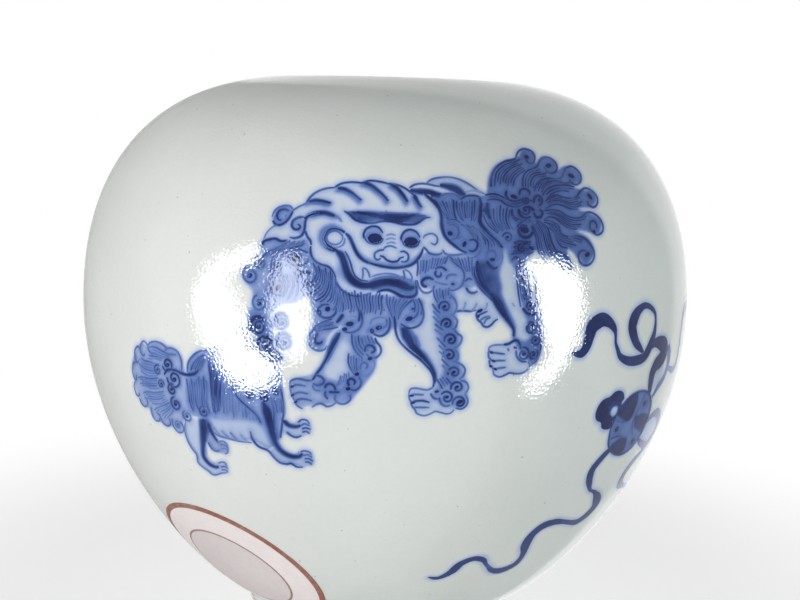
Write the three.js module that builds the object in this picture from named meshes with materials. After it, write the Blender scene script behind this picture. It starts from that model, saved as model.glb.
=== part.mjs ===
// A water pot for a calligrapher's desk: a small globular porcelain jar, thrown thin, with an incurved mouth and a
// turned foot ring, and a round paper label stuck low on its wall. Millimetres, +Z up. The pot stands on z = 0 with
// its axis on Z, and its painted front faces -Y.
import * as THREE from "three";

// Driving dimensions of the pot
const POT_HEIGHT = 76.1; // ground to the top of the lip
const BELLY_RADIUS = 43; // the widest line of the wall
const BELLY_HEIGHT = 45; // height of that line
const MOUTH_RADIUS = 18.4; // axis to the crest of the lip
const LIP_SLOPE = 7.7; // degrees, how steeply the shoulder still rises where it meets the lip
const WALL = 3.2; // thickness of the wall, and of the round lip
const FOOT_RADIUS = 19.3; // outside of the foot ring
const FOOT_HEIGHT = 3; // ground to the start of the wall
const FOOT_STEP = 0.7; // how far the wall stands out past the foot ring
const FOOT_WIDTH = 2.6; // the foot ring, inside to outside
const FOOT_EDGE = 0.5; // bevel along both edges of the foot ring
const FOOT_SLOPE = 29.6; // degrees, how steeply the wall leaves the foot
const UNDER_RECESS = 3.4; // how far the underside is hollowed above the ground
const UNDER_ROUND = 1; // radius between the underside and the foot ring
const BASE_THICKNESS = 4.5; // underside to the floor inside
const FLOOR_ROUND = 6; // radius between the floor and the wall inside

// How full the wall's curve is: the share of each span over which it holds the direction it starts with
const HIP_FULLNESS = 0.452; // going down from the belly
const ANKLE_FULLNESS = 0.509; // going out from the foot
const CHEST_FULLNESS = 0.6; // going up from the belly
const SHOULDER_FULLNESS = 0.62; // going out from the lip

// Driving dimensions of the label
const LABEL_RADIUS = 12.5;
const LABEL_THICKNESS = 0.3;
const LABEL_GAP = 0.3; // clearance between the paper and the pot
const LABEL_ABOVE_FOOT = 0.9; // along the wall, from its start to the label's edge
const LABEL_AZIMUTH = -38; // degrees from the front, towards +X

// How finely the round forms are divided
const POT_SIDES = 60; // a multiple of 4, so that the pot reaches its full width along X and Y
const OUTSIDE_STEPS = 18; // for each of the wall's two curves
const INSIDE_STEPS = 24;
const LIP_STEPS = 8;
const ROUND_STEPS = 4;
const LABEL_SIDES = 48;
const LABEL_RINGS = 5;

const radians = THREE.MathUtils.degToRad;
const lerp = THREE.MathUtils.lerp;

// The wall's outside, from the foot up over the belly to the lip, as radius (x) and height (y)
function makeWall() {
  const lipRadius = WALL / 2;
  const foot = new THREE.Vector2(FOOT_RADIUS + FOOT_STEP, FOOT_HEIGHT);
  const belly = new THREE.Vector2(BELLY_RADIUS, BELLY_HEIGHT);
  const lip = new THREE.Vector2(
    MOUTH_RADIUS + lipRadius * Math.sin(radians(LIP_SLOPE)),
    POT_HEIGHT - lipRadius + lipRadius * Math.cos(radians(LIP_SLOPE)),
  );
  const ankleReach = ANKLE_FULLNESS * (belly.x - foot.x);
  const shoulderReach = SHOULDER_FULLNESS * (belly.x - lip.x);
  const lower = new THREE.CubicBezierCurve(
    foot,
    new THREE.Vector2(
      foot.x + ankleReach * Math.cos(radians(FOOT_SLOPE)),
      foot.y + ankleReach * Math.sin(radians(FOOT_SLOPE)),
    ),
    new THREE.Vector2(belly.x, belly.y - HIP_FULLNESS * (belly.y - foot.y)),
    belly,
  );
  const upper = new THREE.CubicBezierCurve(
    belly,
    new THREE.Vector2(belly.x, belly.y + CHEST_FULLNESS * (lip.y - belly.y)),
    new THREE.Vector2(
      lip.x + shoulderReach * Math.cos(radians(LIP_SLOPE)),
      lip.y - shoulderReach * Math.sin(radians(LIP_SLOPE)),
    ),
    lip,
  );
  const whole = new THREE.CurvePath();
  whole.add(lower);
  whole.add(upper);
  return { lower, upper, whole };
}

const wall = makeWall();

// The point at share t of the wall's length, and the direction that faces out of it there
function wallPoint(t) {
  return wall.whole.getPoint(t);
}

function wallNormal(t) {
  const along = wall.whole.getTangent(t);
  return new THREE.Vector2(along.y, -along.x);
}

// The point that lies depth inside the wall's outer face
function insideWall(t, depth) {
  return wallPoint(t).addScaledVector(wallNormal(t), -depth);
}

// The value between low and high at which a rising test turns true
function findTurn(low, high, test) {
  for (let step = 0; step < 50; step += 1) {
    const middle = (low + high) / 2;
    if (test(middle)) high = middle;
    else low = middle;
  }
  return (low + high) / 2;
}

// Points of an arc about a centre, between two angles in radians, both ends included
function arcPoints(centre, radius, from, to, steps) {
  return Array.from({ length: steps + 1 }, (_, step) => {
    const angle = lerp(from, to, step / steps);
    return new THREE.Vector2(centre.x + radius * Math.cos(angle), centre.y + radius * Math.sin(angle));
  });
}

// The underside and the foot ring, from the axis out to the start of the wall
function footOutline() {
  const inner = FOOT_RADIUS - FOOT_WIDTH;
  const roundCentre = new THREE.Vector2(inner - UNDER_ROUND, UNDER_RECESS - UNDER_ROUND);
  return [
    new THREE.Vector2(0, UNDER_RECESS),
    ...arcPoints(roundCentre, UNDER_ROUND, Math.PI / 2, 0, ROUND_STEPS),
    new THREE.Vector2(inner, FOOT_EDGE),
    new THREE.Vector2(inner + FOOT_EDGE, 0),
    new THREE.Vector2(FOOT_RADIUS - FOOT_EDGE, 0),
    new THREE.Vector2(FOOT_RADIUS, FOOT_EDGE),
    new THREE.Vector2(FOOT_RADIUS, FOOT_HEIGHT - FOOT_STEP),
  ];
}

// The round lip, from the outside of the wall over the crest to the inside
function lipOutline() {
  const centre = new THREE.Vector2(MOUTH_RADIUS, POT_HEIGHT - WALL / 2);
  const crest = Math.PI / 2;
  return arcPoints(centre, WALL / 2, crest, crest + Math.PI - radians(LIP_SLOPE), LIP_STEPS);
}

// The inside, from under the lip down the wall, round into the floor and in to the axis
function insideOutline() {
  const floor = UNDER_RECESS + BASE_THICKNESS;
  const depth = WALL + FLOOR_ROUND;
  const turn = findTurn(0, 1, (t) => insideWall(t, depth).y > floor + FLOOR_ROUND);
  const wallPart = Array.from({ length: INSIDE_STEPS }, (_, step) =>
    insideWall(lerp(1, turn, (step + 1) / INSIDE_STEPS), WALL),
  );
  const facing = wallNormal(turn).angle() - 2 * Math.PI;
  const roundPart = arcPoints(insideWall(turn, depth), FLOOR_ROUND, facing, -Math.PI / 2, ROUND_STEPS);
  return [...wallPart, ...roundPart.slice(1), new THREE.Vector2(0, floor)];
}

// The pot itself: one piece of clay from foot ring to lip
function makePotBody() {
  const outline = [
    ...footOutline(),
    ...wall.lower.getSpacedPoints(OUTSIDE_STEPS),
    ...wall.upper.getSpacedPoints(OUTSIDE_STEPS).slice(1),
    ...lipOutline(),
    ...insideOutline(),
  ];
  const geometry = new THREE.LatheGeometry(outline, POT_SIDES);
  geometry.rotateX(Math.PI / 2);
  const porcelain = new THREE.MeshStandardMaterial({ color: 0xdfe3de, roughness: 0.1, metalness: 0 });
  const mesh = new THREE.Mesh(geometry, porcelain);
  mesh.name = "pot_body";
  return mesh;
}

// A function that lays a flat disc on the wall: it takes a point of the disc, as a distance and an angle about the
// disc's centre, and a height above the wall, and gives the point in space.
function wallLayer(centreT, azimuth) {
  const centre = wallPoint(centreT);
  const normal = wallNormal(centreT);
  const ballRadius = centre.x / normal.x; // from the axis to the wall, square to the wall at the disc's centre
  const ballHeight = centre.y - ballRadius * normal.y;
  const out = new THREE.Vector3(Math.sin(azimuth), -Math.cos(azimuth), 0);
  const facing = out.clone().multiplyScalar(normal.x).setZ(normal.y);
  const up = out.clone().multiplyScalar(-normal.y).setZ(normal.x);
  const across = new THREE.Vector3(Math.cos(azimuth), Math.sin(azimuth), 0);
  return (distance, angle, height) => {
    const turn = distance / ballRadius;
    const direction = facing
      .clone()
      .multiplyScalar(Math.cos(turn))
      .addScaledVector(across, Math.sin(turn) * Math.cos(angle))
      .addScaledVector(up, Math.sin(turn) * Math.sin(angle));
    const level = Math.hypot(direction.x, direction.y);
    const rise = Math.atan2(direction.z, level);
    const t = findTurn(0, 1, (share) => {
      const point = wallPoint(share);
      return Math.atan2(point.y - ballHeight, point.x) > rise;
    });
    const point = insideWall(t, -height);
    return new THREE.Vector3((point.x * direction.x) / level, (point.x * direction.y) / level, point.y);
  };
}

// The label: a thin round piece of paper that follows the wall on both its faces
function makePaperLabel() {
  const centreT = (LABEL_ABOVE_FOOT + LABEL_RADIUS) / wall.whole.getLength();
  const place = wallLayer(centreT, radians(LABEL_AZIMUTH));
  const face = (height) =>
    Array.from(
      { length: LABEL_RINGS + 1 },
      (_, ring) => new THREE.Vector2((LABEL_RADIUS * ring) / LABEL_RINGS, height),
    );
  const outline = [...face(0), ...face(LABEL_THICKNESS).reverse()];
  const geometry = new THREE.LatheGeometry(outline, LABEL_SIDES);
  const position = geometry.getAttribute("position");
  for (let i = 0; i < position.count; i += 1) {
    const distance = Math.hypot(position.getX(i), position.getZ(i));
    const angle = Math.atan2(-position.getZ(i), position.getX(i));
    const placed = place(distance, angle, LABEL_GAP + position.getY(i));
    position.setXYZ(i, placed.x, placed.y, placed.z);
  }
  geometry.computeVertexNormals();
  const paper = new THREE.MeshStandardMaterial({ color: 0xe9dedb, roughness: 0.7, metalness: 0 });
  const mesh = new THREE.Mesh(geometry, paper);
  mesh.name = "paper_label";
  return mesh;
}

const waterPot = new THREE.Group();
waterPot.add(makePotBody(), makePaperLabel());

export default waterPot;
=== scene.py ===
# A small blue-and-white porcelain water pot for a calligrapher's desk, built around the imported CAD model.
# Sizes are millimetres, turned into Blender's metres by MM where they meet it.
import math

import bpy
import numpy as np
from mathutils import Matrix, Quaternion, Vector


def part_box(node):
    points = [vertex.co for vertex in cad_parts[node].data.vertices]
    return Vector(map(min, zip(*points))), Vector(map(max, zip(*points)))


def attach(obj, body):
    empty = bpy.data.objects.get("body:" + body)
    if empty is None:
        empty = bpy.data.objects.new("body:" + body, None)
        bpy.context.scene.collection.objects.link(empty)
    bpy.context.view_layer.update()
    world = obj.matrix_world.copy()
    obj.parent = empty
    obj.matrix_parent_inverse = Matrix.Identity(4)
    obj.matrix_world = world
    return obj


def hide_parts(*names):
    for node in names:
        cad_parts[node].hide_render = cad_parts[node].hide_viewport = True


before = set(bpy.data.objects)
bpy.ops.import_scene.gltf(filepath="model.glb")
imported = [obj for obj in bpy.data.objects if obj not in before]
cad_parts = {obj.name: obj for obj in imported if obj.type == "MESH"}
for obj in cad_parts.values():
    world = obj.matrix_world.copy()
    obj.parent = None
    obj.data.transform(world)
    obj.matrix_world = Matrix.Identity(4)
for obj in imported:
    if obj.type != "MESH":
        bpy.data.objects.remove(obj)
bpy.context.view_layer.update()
bpy.ops.object.select_all(action="DESELECT")


# The studio. A white floor under a white room, soft boxes that light the pot from all sides, and round lamps
# that only leave the bright patches on the glaze. The glaze mirrors a grey room in front of it and, along its
# rim, the white wall behind it.
MM = 0.001
FLOOR_WIDTH = 4000
FLOOR_COLOUR = (0.86, 0.86, 0.84, 1)
FLOOR_NEAR, FLOOR_FAR = 45, 115  # where the floor starts and ends to fade into the white of the room
FLOOR_GLOW = 0.72  # how much of the room's white the camera sees in the floor beside the pot
ROOM_WHITE = (1, 1, 1, 1)
ROOM_DARK = (0.02, 0.021, 0.021, 1)
ROOM_LIGHT = (0.095, 0.104, 0.103, 1)  # the light that the room itself sheds
MIRRORED_GREY = 0.5  # how far from dark to white the glaze mirrors the room in front
MIRRORED_WHITE = (  # the way to each white stretch of wall that the glaze mirrors, and the cosine at its edge
    ((0.333, 0.898, 0.288), 0.868),
    ((0.302, 0.946, -0.121), 0.866),
)
EDGE_SOFTNESS = 0.025
LAMP_DISTANCE = 450
BOX_DISTANCE = 500
POT_MIDDLE = Vector((0, 0, 45)) * MM


def add_node(tree, kind, x, y, **settings):
    """Adds a shader node. A setting named after an input goes to that socket, any other to the node."""
    node = tree.nodes.new(kind)
    node.location = (x, y)
    for name, value in settings.items():
        socket = node.inputs.get(name.replace("_", " "))
        if isinstance(value, bpy.types.NodeSocket):
            tree.links.new(value, socket)
        elif socket is not None and name[0].isupper():
            socket.default_value = value
        else:
            setattr(node, name, value)
    return node


def calculate(tree, x, y, operation, *values):
    """Does one sum with sockets and numbers."""
    node = add_node(tree, "ShaderNodeMath", x, y, operation=operation)
    for socket, value in zip(node.inputs, values):
        if isinstance(value, bpy.types.NodeSocket):
            tree.links.new(value, socket)
        else:
            socket.default_value = value
    return node.outputs[0]


def spread(tree, x, y, value, start, end, low=0, high=1, **settings):
    """Turns a value that runs from start to end into one that runs from low to high."""
    return add_node(tree, "ShaderNodeMapRange", x, y, Value=value, From_Min=start, From_Max=end, To_Min=low,
                    To_Max=high, **settings).outputs[0]


def mix(tree, x, y, share, one, other, **settings):
    node = add_node(tree, "ShaderNodeMixRGB", x, y, Fac=share, Color1=one, Color2=other, **settings)
    return node.outputs[0]


world = bpy.data.worlds.new("white_room")
bpy.context.scene.world = world
world.use_nodes = True
room = world.node_tree
room.nodes.clear()
facing = add_node(room, "ShaderNodeTexCoord", -1100, 0).outputs["Generated"]
share = MIRRORED_GREY
for row, (way, edge) in enumerate(MIRRORED_WHITE):
    toward = add_node(room, "ShaderNodeVectorMath", -900, -200 * row, operation="DOT_PRODUCT")
    room.links.new(facing, toward.inputs[0])
    toward.inputs[1].default_value = way
    inside = spread(room, -700, -200 * row, toward.outputs["Value"], edge - EDGE_SOFTNESS / 2,
                    edge + EDGE_SOFTNESS / 2, interpolation_type="SMOOTHSTEP")
    share = calculate(room, -500, -200 * row, "MAXIMUM", inside, share)
mirrored = mix(room, -300, 0, share, ROOM_DARK, ROOM_WHITE)
rays = add_node(room, "ShaderNodeLightPath", -500, 400).outputs
lit = mix(room, -100, 100, rays["Is Glossy Ray"], ROOM_LIGHT, mirrored)
shown = mix(room, 100, 200, rays["Is Camera Ray"], lit, ROOM_WHITE)
background = add_node(room, "ShaderNodeBackground", 300, 200, Color=shown, Strength=1)
add_node(room, "ShaderNodeOutputWorld", 500, 200, Surface=background.outputs[0])

bpy.ops.mesh.primitive_plane_add(size=FLOOR_WIDTH * MM)
floor = bpy.context.object
floor.name = "floor"
floor.visible_glossy = False
floor.visible_shadow = False
paper_white = bpy.data.materials.new("white_floor")
paper_white.use_nodes = True
tree = paper_white.node_tree
tree.nodes.clear()
matte = add_node(tree, "ShaderNodeBsdfDiffuse", 0, 0, Color=FLOOR_COLOUR)
glow = add_node(tree, "ShaderNodeEmission", 0, 200, Color=ROOM_WHITE, Strength=1)
spot = add_node(tree, "ShaderNodeTexCoord", -800, 500).outputs["Object"]
from_pot = add_node(tree, "ShaderNodeVectorMath", -600, 500, operation="LENGTH")
tree.links.new(spot, from_pot.inputs[0])
fade = spread(tree, -400, 500, from_pot.outputs["Value"], FLOOR_NEAR * MM, FLOOR_FAR * MM, FLOOR_GLOW, 1,
              interpolation_type="SMOOTHSTEP")
camera_ray = add_node(tree, "ShaderNodeLightPath", -400, 300).outputs["Is Camera Ray"]
seen = calculate(tree, -200, 300, "MULTIPLY", camera_ray, fade)
blend = add_node(tree, "ShaderNodeMixShader", 200, 100, Fac=seen)
tree.links.new(matte.outputs[0], blend.inputs[1])
tree.links.new(glow.outputs[0], blend.inputs[2])
add_node(tree, "ShaderNodeOutputMaterial", 400, 100, Surface=blend.outputs[0])
floor.data.materials.append(paper_white)


def add_lamp(name, azimuth, rise, distance, width, height, turn, brightness, tint=(1, 1, 1), shape="ELLIPSE"):
    """A lamp that faces the pot. Its bearing from the front, its rise and its turn are in degrees."""
    across, up = math.radians(azimuth), math.radians(rise)
    away = Vector((math.sin(across) * math.cos(up), -math.cos(across) * math.cos(up), math.sin(up)))
    light = bpy.data.lights.new(name, "AREA")
    light.shape = shape
    light.size, light.size_y = width * MM, height * MM
    light.color = tint
    fullness = math.pi / 4 if shape == "ELLIPSE" else 1
    light.energy = brightness * math.pi * light.size * light.size_y * fullness
    lamp = bpy.data.objects.new(name, light)
    bpy.context.scene.collection.objects.link(lamp)
    lamp.location = POT_MIDDLE + away * distance * MM
    lamp.rotation_mode = "QUATERNION"
    lamp.rotation_quaternion = away.to_track_quat("Z", "Y") @ Quaternion((0, 0, 1), math.radians(turn))
    lamp.visible_camera = False
    return lamp


for name, azimuth, rise, width, height, turn, brightness in (
    ("left_lamp_high", -54, 13, 168, 42, 30, 22),
    ("left_lamp", -56, -6, 238, 134, -57, 26),
    ("left_lamp_low", -46, -18, 170, 101, 2, 26),
    ("left_lamp_inner", -32, 2, 273, 108, -83, 10),
    ("right_lamp_high", 56, 11, 136, 73, -16, 14),
    ("right_lamp", 62, 2, 199, 147, -88, 18),
    ("right_lamp_low", 59.5, -15, 172, 46, 46, 18),
):
    lamp = add_lamp(name, azimuth, rise, LAMP_DISTANCE, width, height, turn, brightness)
    lamp.visible_diffuse = False
for name, azimuth, rise, width, height, brightness, tint in (
    ("left_box", -43, 2, 380, 400, 3.8, (1, 0.94, 0.93)),
    ("right_box", 82, 0, 300, 300, 4.45, (0.93, 1, 0.99)),
    ("front_box", -20, -5, 500, 400, 3.36, (0.98, 0.99, 0.99)),
    ("top_box", 0, 60, 400, 400, 0.15, (0.8, 1, 1)),
    ("back_box", 180, -8, 500, 280, 5, (1, 1, 1)),
):
    box = add_lamp(name, azimuth, rise, BOX_DISTANCE, width, height, 0, brightness, tint, "RECTANGLE")
    box.visible_glossy = False

# A narrow beam falls through the mouth from straight above.
BEAM_DISTANCE, BEAM_WIDTH = 200, 16
BEAM_BRIGHTNESS = 500
BEAM_SPREAD = math.radians(5)

beam = add_lamp("mouth_beam", 0, 90, BEAM_DISTANCE, BEAM_WIDTH, BEAM_WIDTH, 0, BEAM_BRIGHTNESS)
beam.visible_glossy = False
beam.data.spread = BEAM_SPREAD

# The camera stands close in front of the pot and looks a little down on it, as the photograph was taken.
CAMERA_PLACE = Vector((0, -174.23, 69.89)) * MM
CAMERA_ROLL = 1.61
LENS, SENSOR_WIDTH = 54, 36
SHIFT_RIGHT, SHIFT_UP = 0.0186, -0.0045

view = bpy.data.cameras.new("camera")
view.lens, view.sensor_width = LENS, SENSOR_WIDTH
view.shift_x, view.shift_y = SHIFT_RIGHT, SHIFT_UP
view.clip_start = 10 * MM
camera = bpy.data.objects.new("camera", view)
bpy.context.scene.collection.objects.link(camera)
camera.location = CAMERA_PLACE
camera.rotation_mode = "QUATERNION"
camera.rotation_quaternion = (POT_MIDDLE - CAMERA_PLACE).to_track_quat("-Z", "Y") @ Quaternion(
    (0, 0, 1), math.radians(CAMERA_ROLL)
)
bpy.context.scene.camera = camera
bpy.context.scene.view_settings.view_transform = "Standard"


# The pot: white porcelain clay, thrown on the wheel, turned to a thin wall with a low foot ring, and fired
# once under a clear glaze, wiped off the foot rim so that the pot would not stick to the kiln shelf. Its wall
# is drawn a hair inside the CAD wall, which leaves room for the layers of cobalt on it.
POT_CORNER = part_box("pot_body")[1] / MM
POT_HEIGHT = POT_CORNER.z
BELLY_RADIUS = POT_CORNER.x
BELLY_HEIGHT = 45
MOUTH_RADIUS = 18.4
LIP_SLOPE = math.radians(7.7)
WALL = 3.2
LIP_RADIUS = WALL / 2
FOOT_RADIUS = 19.3
FOOT_HEIGHT = 3
FOOT_STEP = 0.7
FOOT_WIDTH = 2.6
FOOT_SLOPE = math.radians(29.6)
UNDER_RECESS = 3.4
UNDER_ROUND = 1
FLOOR_LEVEL = 7.9
FLOOR_ROUND = 6
HIP_FULLNESS, ANKLE_FULLNESS = 0.452, 0.509
CHEST_FULLNESS, SHOULDER_FULLNESS = 0.6, 0.62
PAINT_ROOM = 0.085  # how far inside the CAD wall the drawn wall lies
GLAZE_THICKNESS = 0.18  # the step where the glaze stops above the bare foot rim
GLAZE_END = 1.1
RIM_ROUND = 0.4
THROWING_RIDGE, THROWING_PITCH = 0.05, 3.4  # the finger marks left inside
POT_SIDES = 192
CURVE_POINTS = 400  # how finely each half of the wall is worked out
LOW_RINGS, HIGH_RINGS, INSIDE_RINGS = 72, 64, 90
WELD_GAP = 0.002


def bezier(points, count):
    """Points on a curve that leaves the first point towards the second and meets the last from the third."""
    t = np.linspace(0, 1, count)[:, None]
    start, leave, arrive, end = (np.array(point, float) for point in points)
    return (1 - t) ** 3 * start + 3 * (1 - t) ** 2 * t * leave + 3 * (1 - t) * t**2 * arrive + t**3 * end


def arc(centre, radius, start, end, steps):
    """Points along an arc between two angles in degrees."""
    angles = np.radians(np.linspace(start, end, steps + 1))
    return np.stack([centre[0] + radius * np.cos(angles), centre[1] + radius * np.sin(angles)], -1)


def make_wall():
    """The wall's outside as radius and height, with the length along it from the belly, upwards."""
    foot = (FOOT_RADIUS + FOOT_STEP, FOOT_HEIGHT)
    belly = (BELLY_RADIUS, BELLY_HEIGHT)
    crest = POT_HEIGHT - LIP_RADIUS
    lip = (MOUTH_RADIUS + LIP_RADIUS * math.sin(LIP_SLOPE), crest + LIP_RADIUS * math.cos(LIP_SLOPE))
    ankle = ANKLE_FULLNESS * (belly[0] - foot[0])
    shoulder = SHOULDER_FULLNESS * (belly[0] - lip[0])
    lower = bezier((
        foot, (foot[0] + ankle * math.cos(FOOT_SLOPE), foot[1] + ankle * math.sin(FOOT_SLOPE)),
        (belly[0], belly[1] - HIP_FULLNESS * (belly[1] - foot[1])), belly,
    ), CURVE_POINTS)
    upper = bezier((
        belly, (belly[0], belly[1] + CHEST_FULLNESS * (lip[1] - belly[1])),
        (lip[0] + shoulder * math.cos(LIP_SLOPE), lip[1] - shoulder * math.sin(LIP_SLOPE)), lip,
    ), CURVE_POINTS)
    outline = np.vstack([lower, upper[1:]])
    along = np.concatenate([[0], np.cumsum(np.linalg.norm(np.diff(outline, axis=0), axis=1))])
    slopes = np.gradient(outline, along, axis=0)
    return along - along[len(lower) - 1], outline, slopes


wall_along, wall_outline, wall_slopes = make_wall()
WALL_START, WALL_END = wall_along[0], wall_along[-1]


def wall_at(along, height=0.0):
    """Radius and height above the ground of the wall, at a length along it and a height off it."""
    radius, level = (np.interp(along, wall_along, wall_outline[:, k]) for k in (0, 1))
    out, up = wall_facing(along)
    return radius + out * height, level + up * height


def wall_facing(along):
    """The way out of the wall there, as its outward and its upward part."""
    slope_out, slope_up = (np.interp(along, wall_along, wall_slopes[:, k]) for k in (0, 1))
    length = np.hypot(slope_out, slope_up)
    return slope_up / length, -slope_out / length


def pot_outline():
    """The whole outline of the clay, from the middle of the underside round to the middle of the floor."""
    inner = FOOT_RADIUS - FOOT_WIDTH
    bare_inner, bare_outer = inner + GLAZE_THICKNESS, FOOT_RADIUS - GLAZE_THICKNESS
    underside = [[(0, UNDER_RECESS - 0.3), (6, UNDER_RECESS - 0.18), (11, UNDER_RECESS - 0.04)]]
    underside.append(arc((inner - UNDER_ROUND, UNDER_RECESS - UNDER_ROUND), UNDER_ROUND, 90, 0, 8))
    outer = FOOT_RADIUS
    waist = FOOT_HEIGHT - FOOT_STEP
    foot = [
        [(inner, GLAZE_END + 0.1), (inner + 0.05, GLAZE_END), (bare_inner, GLAZE_END - 0.08)],
        arc((bare_inner + RIM_ROUND, RIM_ROUND), RIM_ROUND, 180, 270, 6),
        arc((bare_outer - RIM_ROUND, RIM_ROUND), RIM_ROUND, 270, 360, 6),
        [(bare_outer, GLAZE_END - 0.12), (outer - 0.04, GLAZE_END - 0.02), (outer, GLAZE_END + 0.14)],
        bezier(((outer, waist), (outer, waist + 0.55 * FOOT_STEP),
                (outer + 0.35 * FOOT_STEP, FOOT_HEIGHT - 0.1), (outer + 0.75 * FOOT_STEP, FOOT_HEIGHT)), 7),
    ]
    low = np.linspace(WALL_START, 0, LOW_RINGS)[1:]
    high = np.linspace(0, WALL_END, HIGH_RINGS)[1:]
    outside = [np.stack(wall_at(part, -PAINT_ROOM), -1) for part in (low, high)]
    crest = np.degrees(math.pi / 2 - LIP_SLOPE)
    lip = arc((MOUTH_RADIUS, POT_HEIGHT - LIP_RADIUS - PAINT_ROOM), LIP_RADIUS, crest, crest + 180, 22)[1:]
    down = np.linspace(WALL_END, WALL_START, CURVE_POINTS)
    radius, level = wall_at(down, -WALL - FLOOR_ROUND)
    turn = down[np.argmax(level < FLOOR_LEVEL + FLOOR_ROUND)]
    down = np.linspace(WALL_END, turn, INSIDE_RINGS)[1:]
    ridges = THROWING_RIDGE * np.sin(math.tau * down / THROWING_PITCH) * np.clip((WALL_END - down) / 8, 0, 1)
    inside = np.stack(wall_at(down, -WALL - ridges), -1)
    out, up = wall_facing(turn)
    bend = arc([float(part) for part in wall_at(turn, -WALL - FLOOR_ROUND)], FLOOR_ROUND,
               math.degrees(math.atan2(up, out)), -90, 12)[1:]
    floor_end = [(8, FLOOR_LEVEL - 0.03), (4, FLOOR_LEVEL + 0.05), (0, FLOOR_LEVEL + 0.12)]
    return np.vstack([*underside, *foot, *outside, lip, inside, bend, floor_end])


def edit(piece):
    """Makes a piece the one that is worked on in edit mode, with everything else let go."""
    bpy.ops.object.select_all(action="DESELECT")
    piece.select_set(True)
    bpy.context.view_layer.objects.active = piece
    bpy.ops.object.mode_set(mode="EDIT")


outline = pot_outline()
bpy.ops.mesh.primitive_plane_add(size=MM)
pot = bpy.context.object
pot.name = "glazed_pot"
edit(pot)
bpy.ops.mesh.select_all(action="SELECT")
bpy.ops.mesh.merge(type="CENTER")
bpy.ops.transform.translate(value=(outline[0][0] * MM, 0, outline[0][1] * MM))
for before, after in zip(outline[:-1], outline[1:]):
    step = (after - before) * MM
    bpy.ops.mesh.extrude_region_move(TRANSFORM_OT_translate={"value": (step[0], 0, step[1])})
bpy.ops.mesh.select_all(action="SELECT")
bpy.ops.mesh.spin(steps=POT_SIDES, angle=math.tau, center=(0, 0, 0), axis=(0, 0, 1))
bpy.ops.mesh.select_all(action="SELECT")
bpy.ops.mesh.remove_doubles(threshold=WELD_GAP * MM)
bpy.ops.mesh.normals_make_consistent(inside=False)
bpy.ops.object.mode_set(mode="OBJECT")
bpy.ops.object.shade_smooth()

GLAZE_WHITE = (0.7, 0.73, 0.712, 1)
GLAZE_THIN = (0.75, 0.75, 0.715, 1)  # where it ran off the lip
GLAZE_DEEP = (0.6, 0.68, 0.66, 1)  # where it pooled above the foot
BISCUIT = (0.72, 0.64, 0.53, 1)
SCORCH = (0.42, 0.2, 0.08, 1)  # the rusty line at the glaze's edge
SPECK = (0.16, 0.13, 0.1, 1)
CLOUD_SCALE, SWELL_SCALE = 55, 170  # how many features of each pattern fit in a metre
GRAIN_SCALE, PEEL_SCALE = 1500, 3500
SPECK_SCALE, WOBBLE_SCALE, CLAY_SCALE = 530, 260, 3200
NOISE_LOW, NOISE_HIGH = 0.3, 0.7  # most of a noise lies between them
SPECK_CORE, SPECK_EDGE = 0.03, 0.08
SPECKLESS, DARKEST_SPECK = 0.25, 0.8  # the share of spots without a speck, and the darkest speck's strength
GLAZE_ROUGHNESS, CLAY_ROUGHNESS = 0.035, 0.75
GLAZE_IOR = 1.5
POOL_LOW, POOL_HIGH = 2, 14  # the levels between which the glaze thins upwards
THIN_DEPTH = 2.6
RIPPLE_HEIGHT, SWELL_OVER_GRAIN = 0.0026, 7
PEEL_HEIGHT = 0.016
BARE_LOW, BARE_HIGH = 0.72, 1.3  # between these levels the glaze's lower edge wanders
BARE_SOFTNESS = 0.06
SCORCH_WIDTH, SCORCH_STRENGTH = 0.34, 0.55
CLAY_GRAIN_HEIGHT = 0.02


def noise(tree, x, y, place, scale, detail, **settings):
    return add_node(tree, "ShaderNodeTexNoise", x, y, Vector=place, Scale=scale, Detail=detail,
                    **settings).outputs["Fac"]


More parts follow.
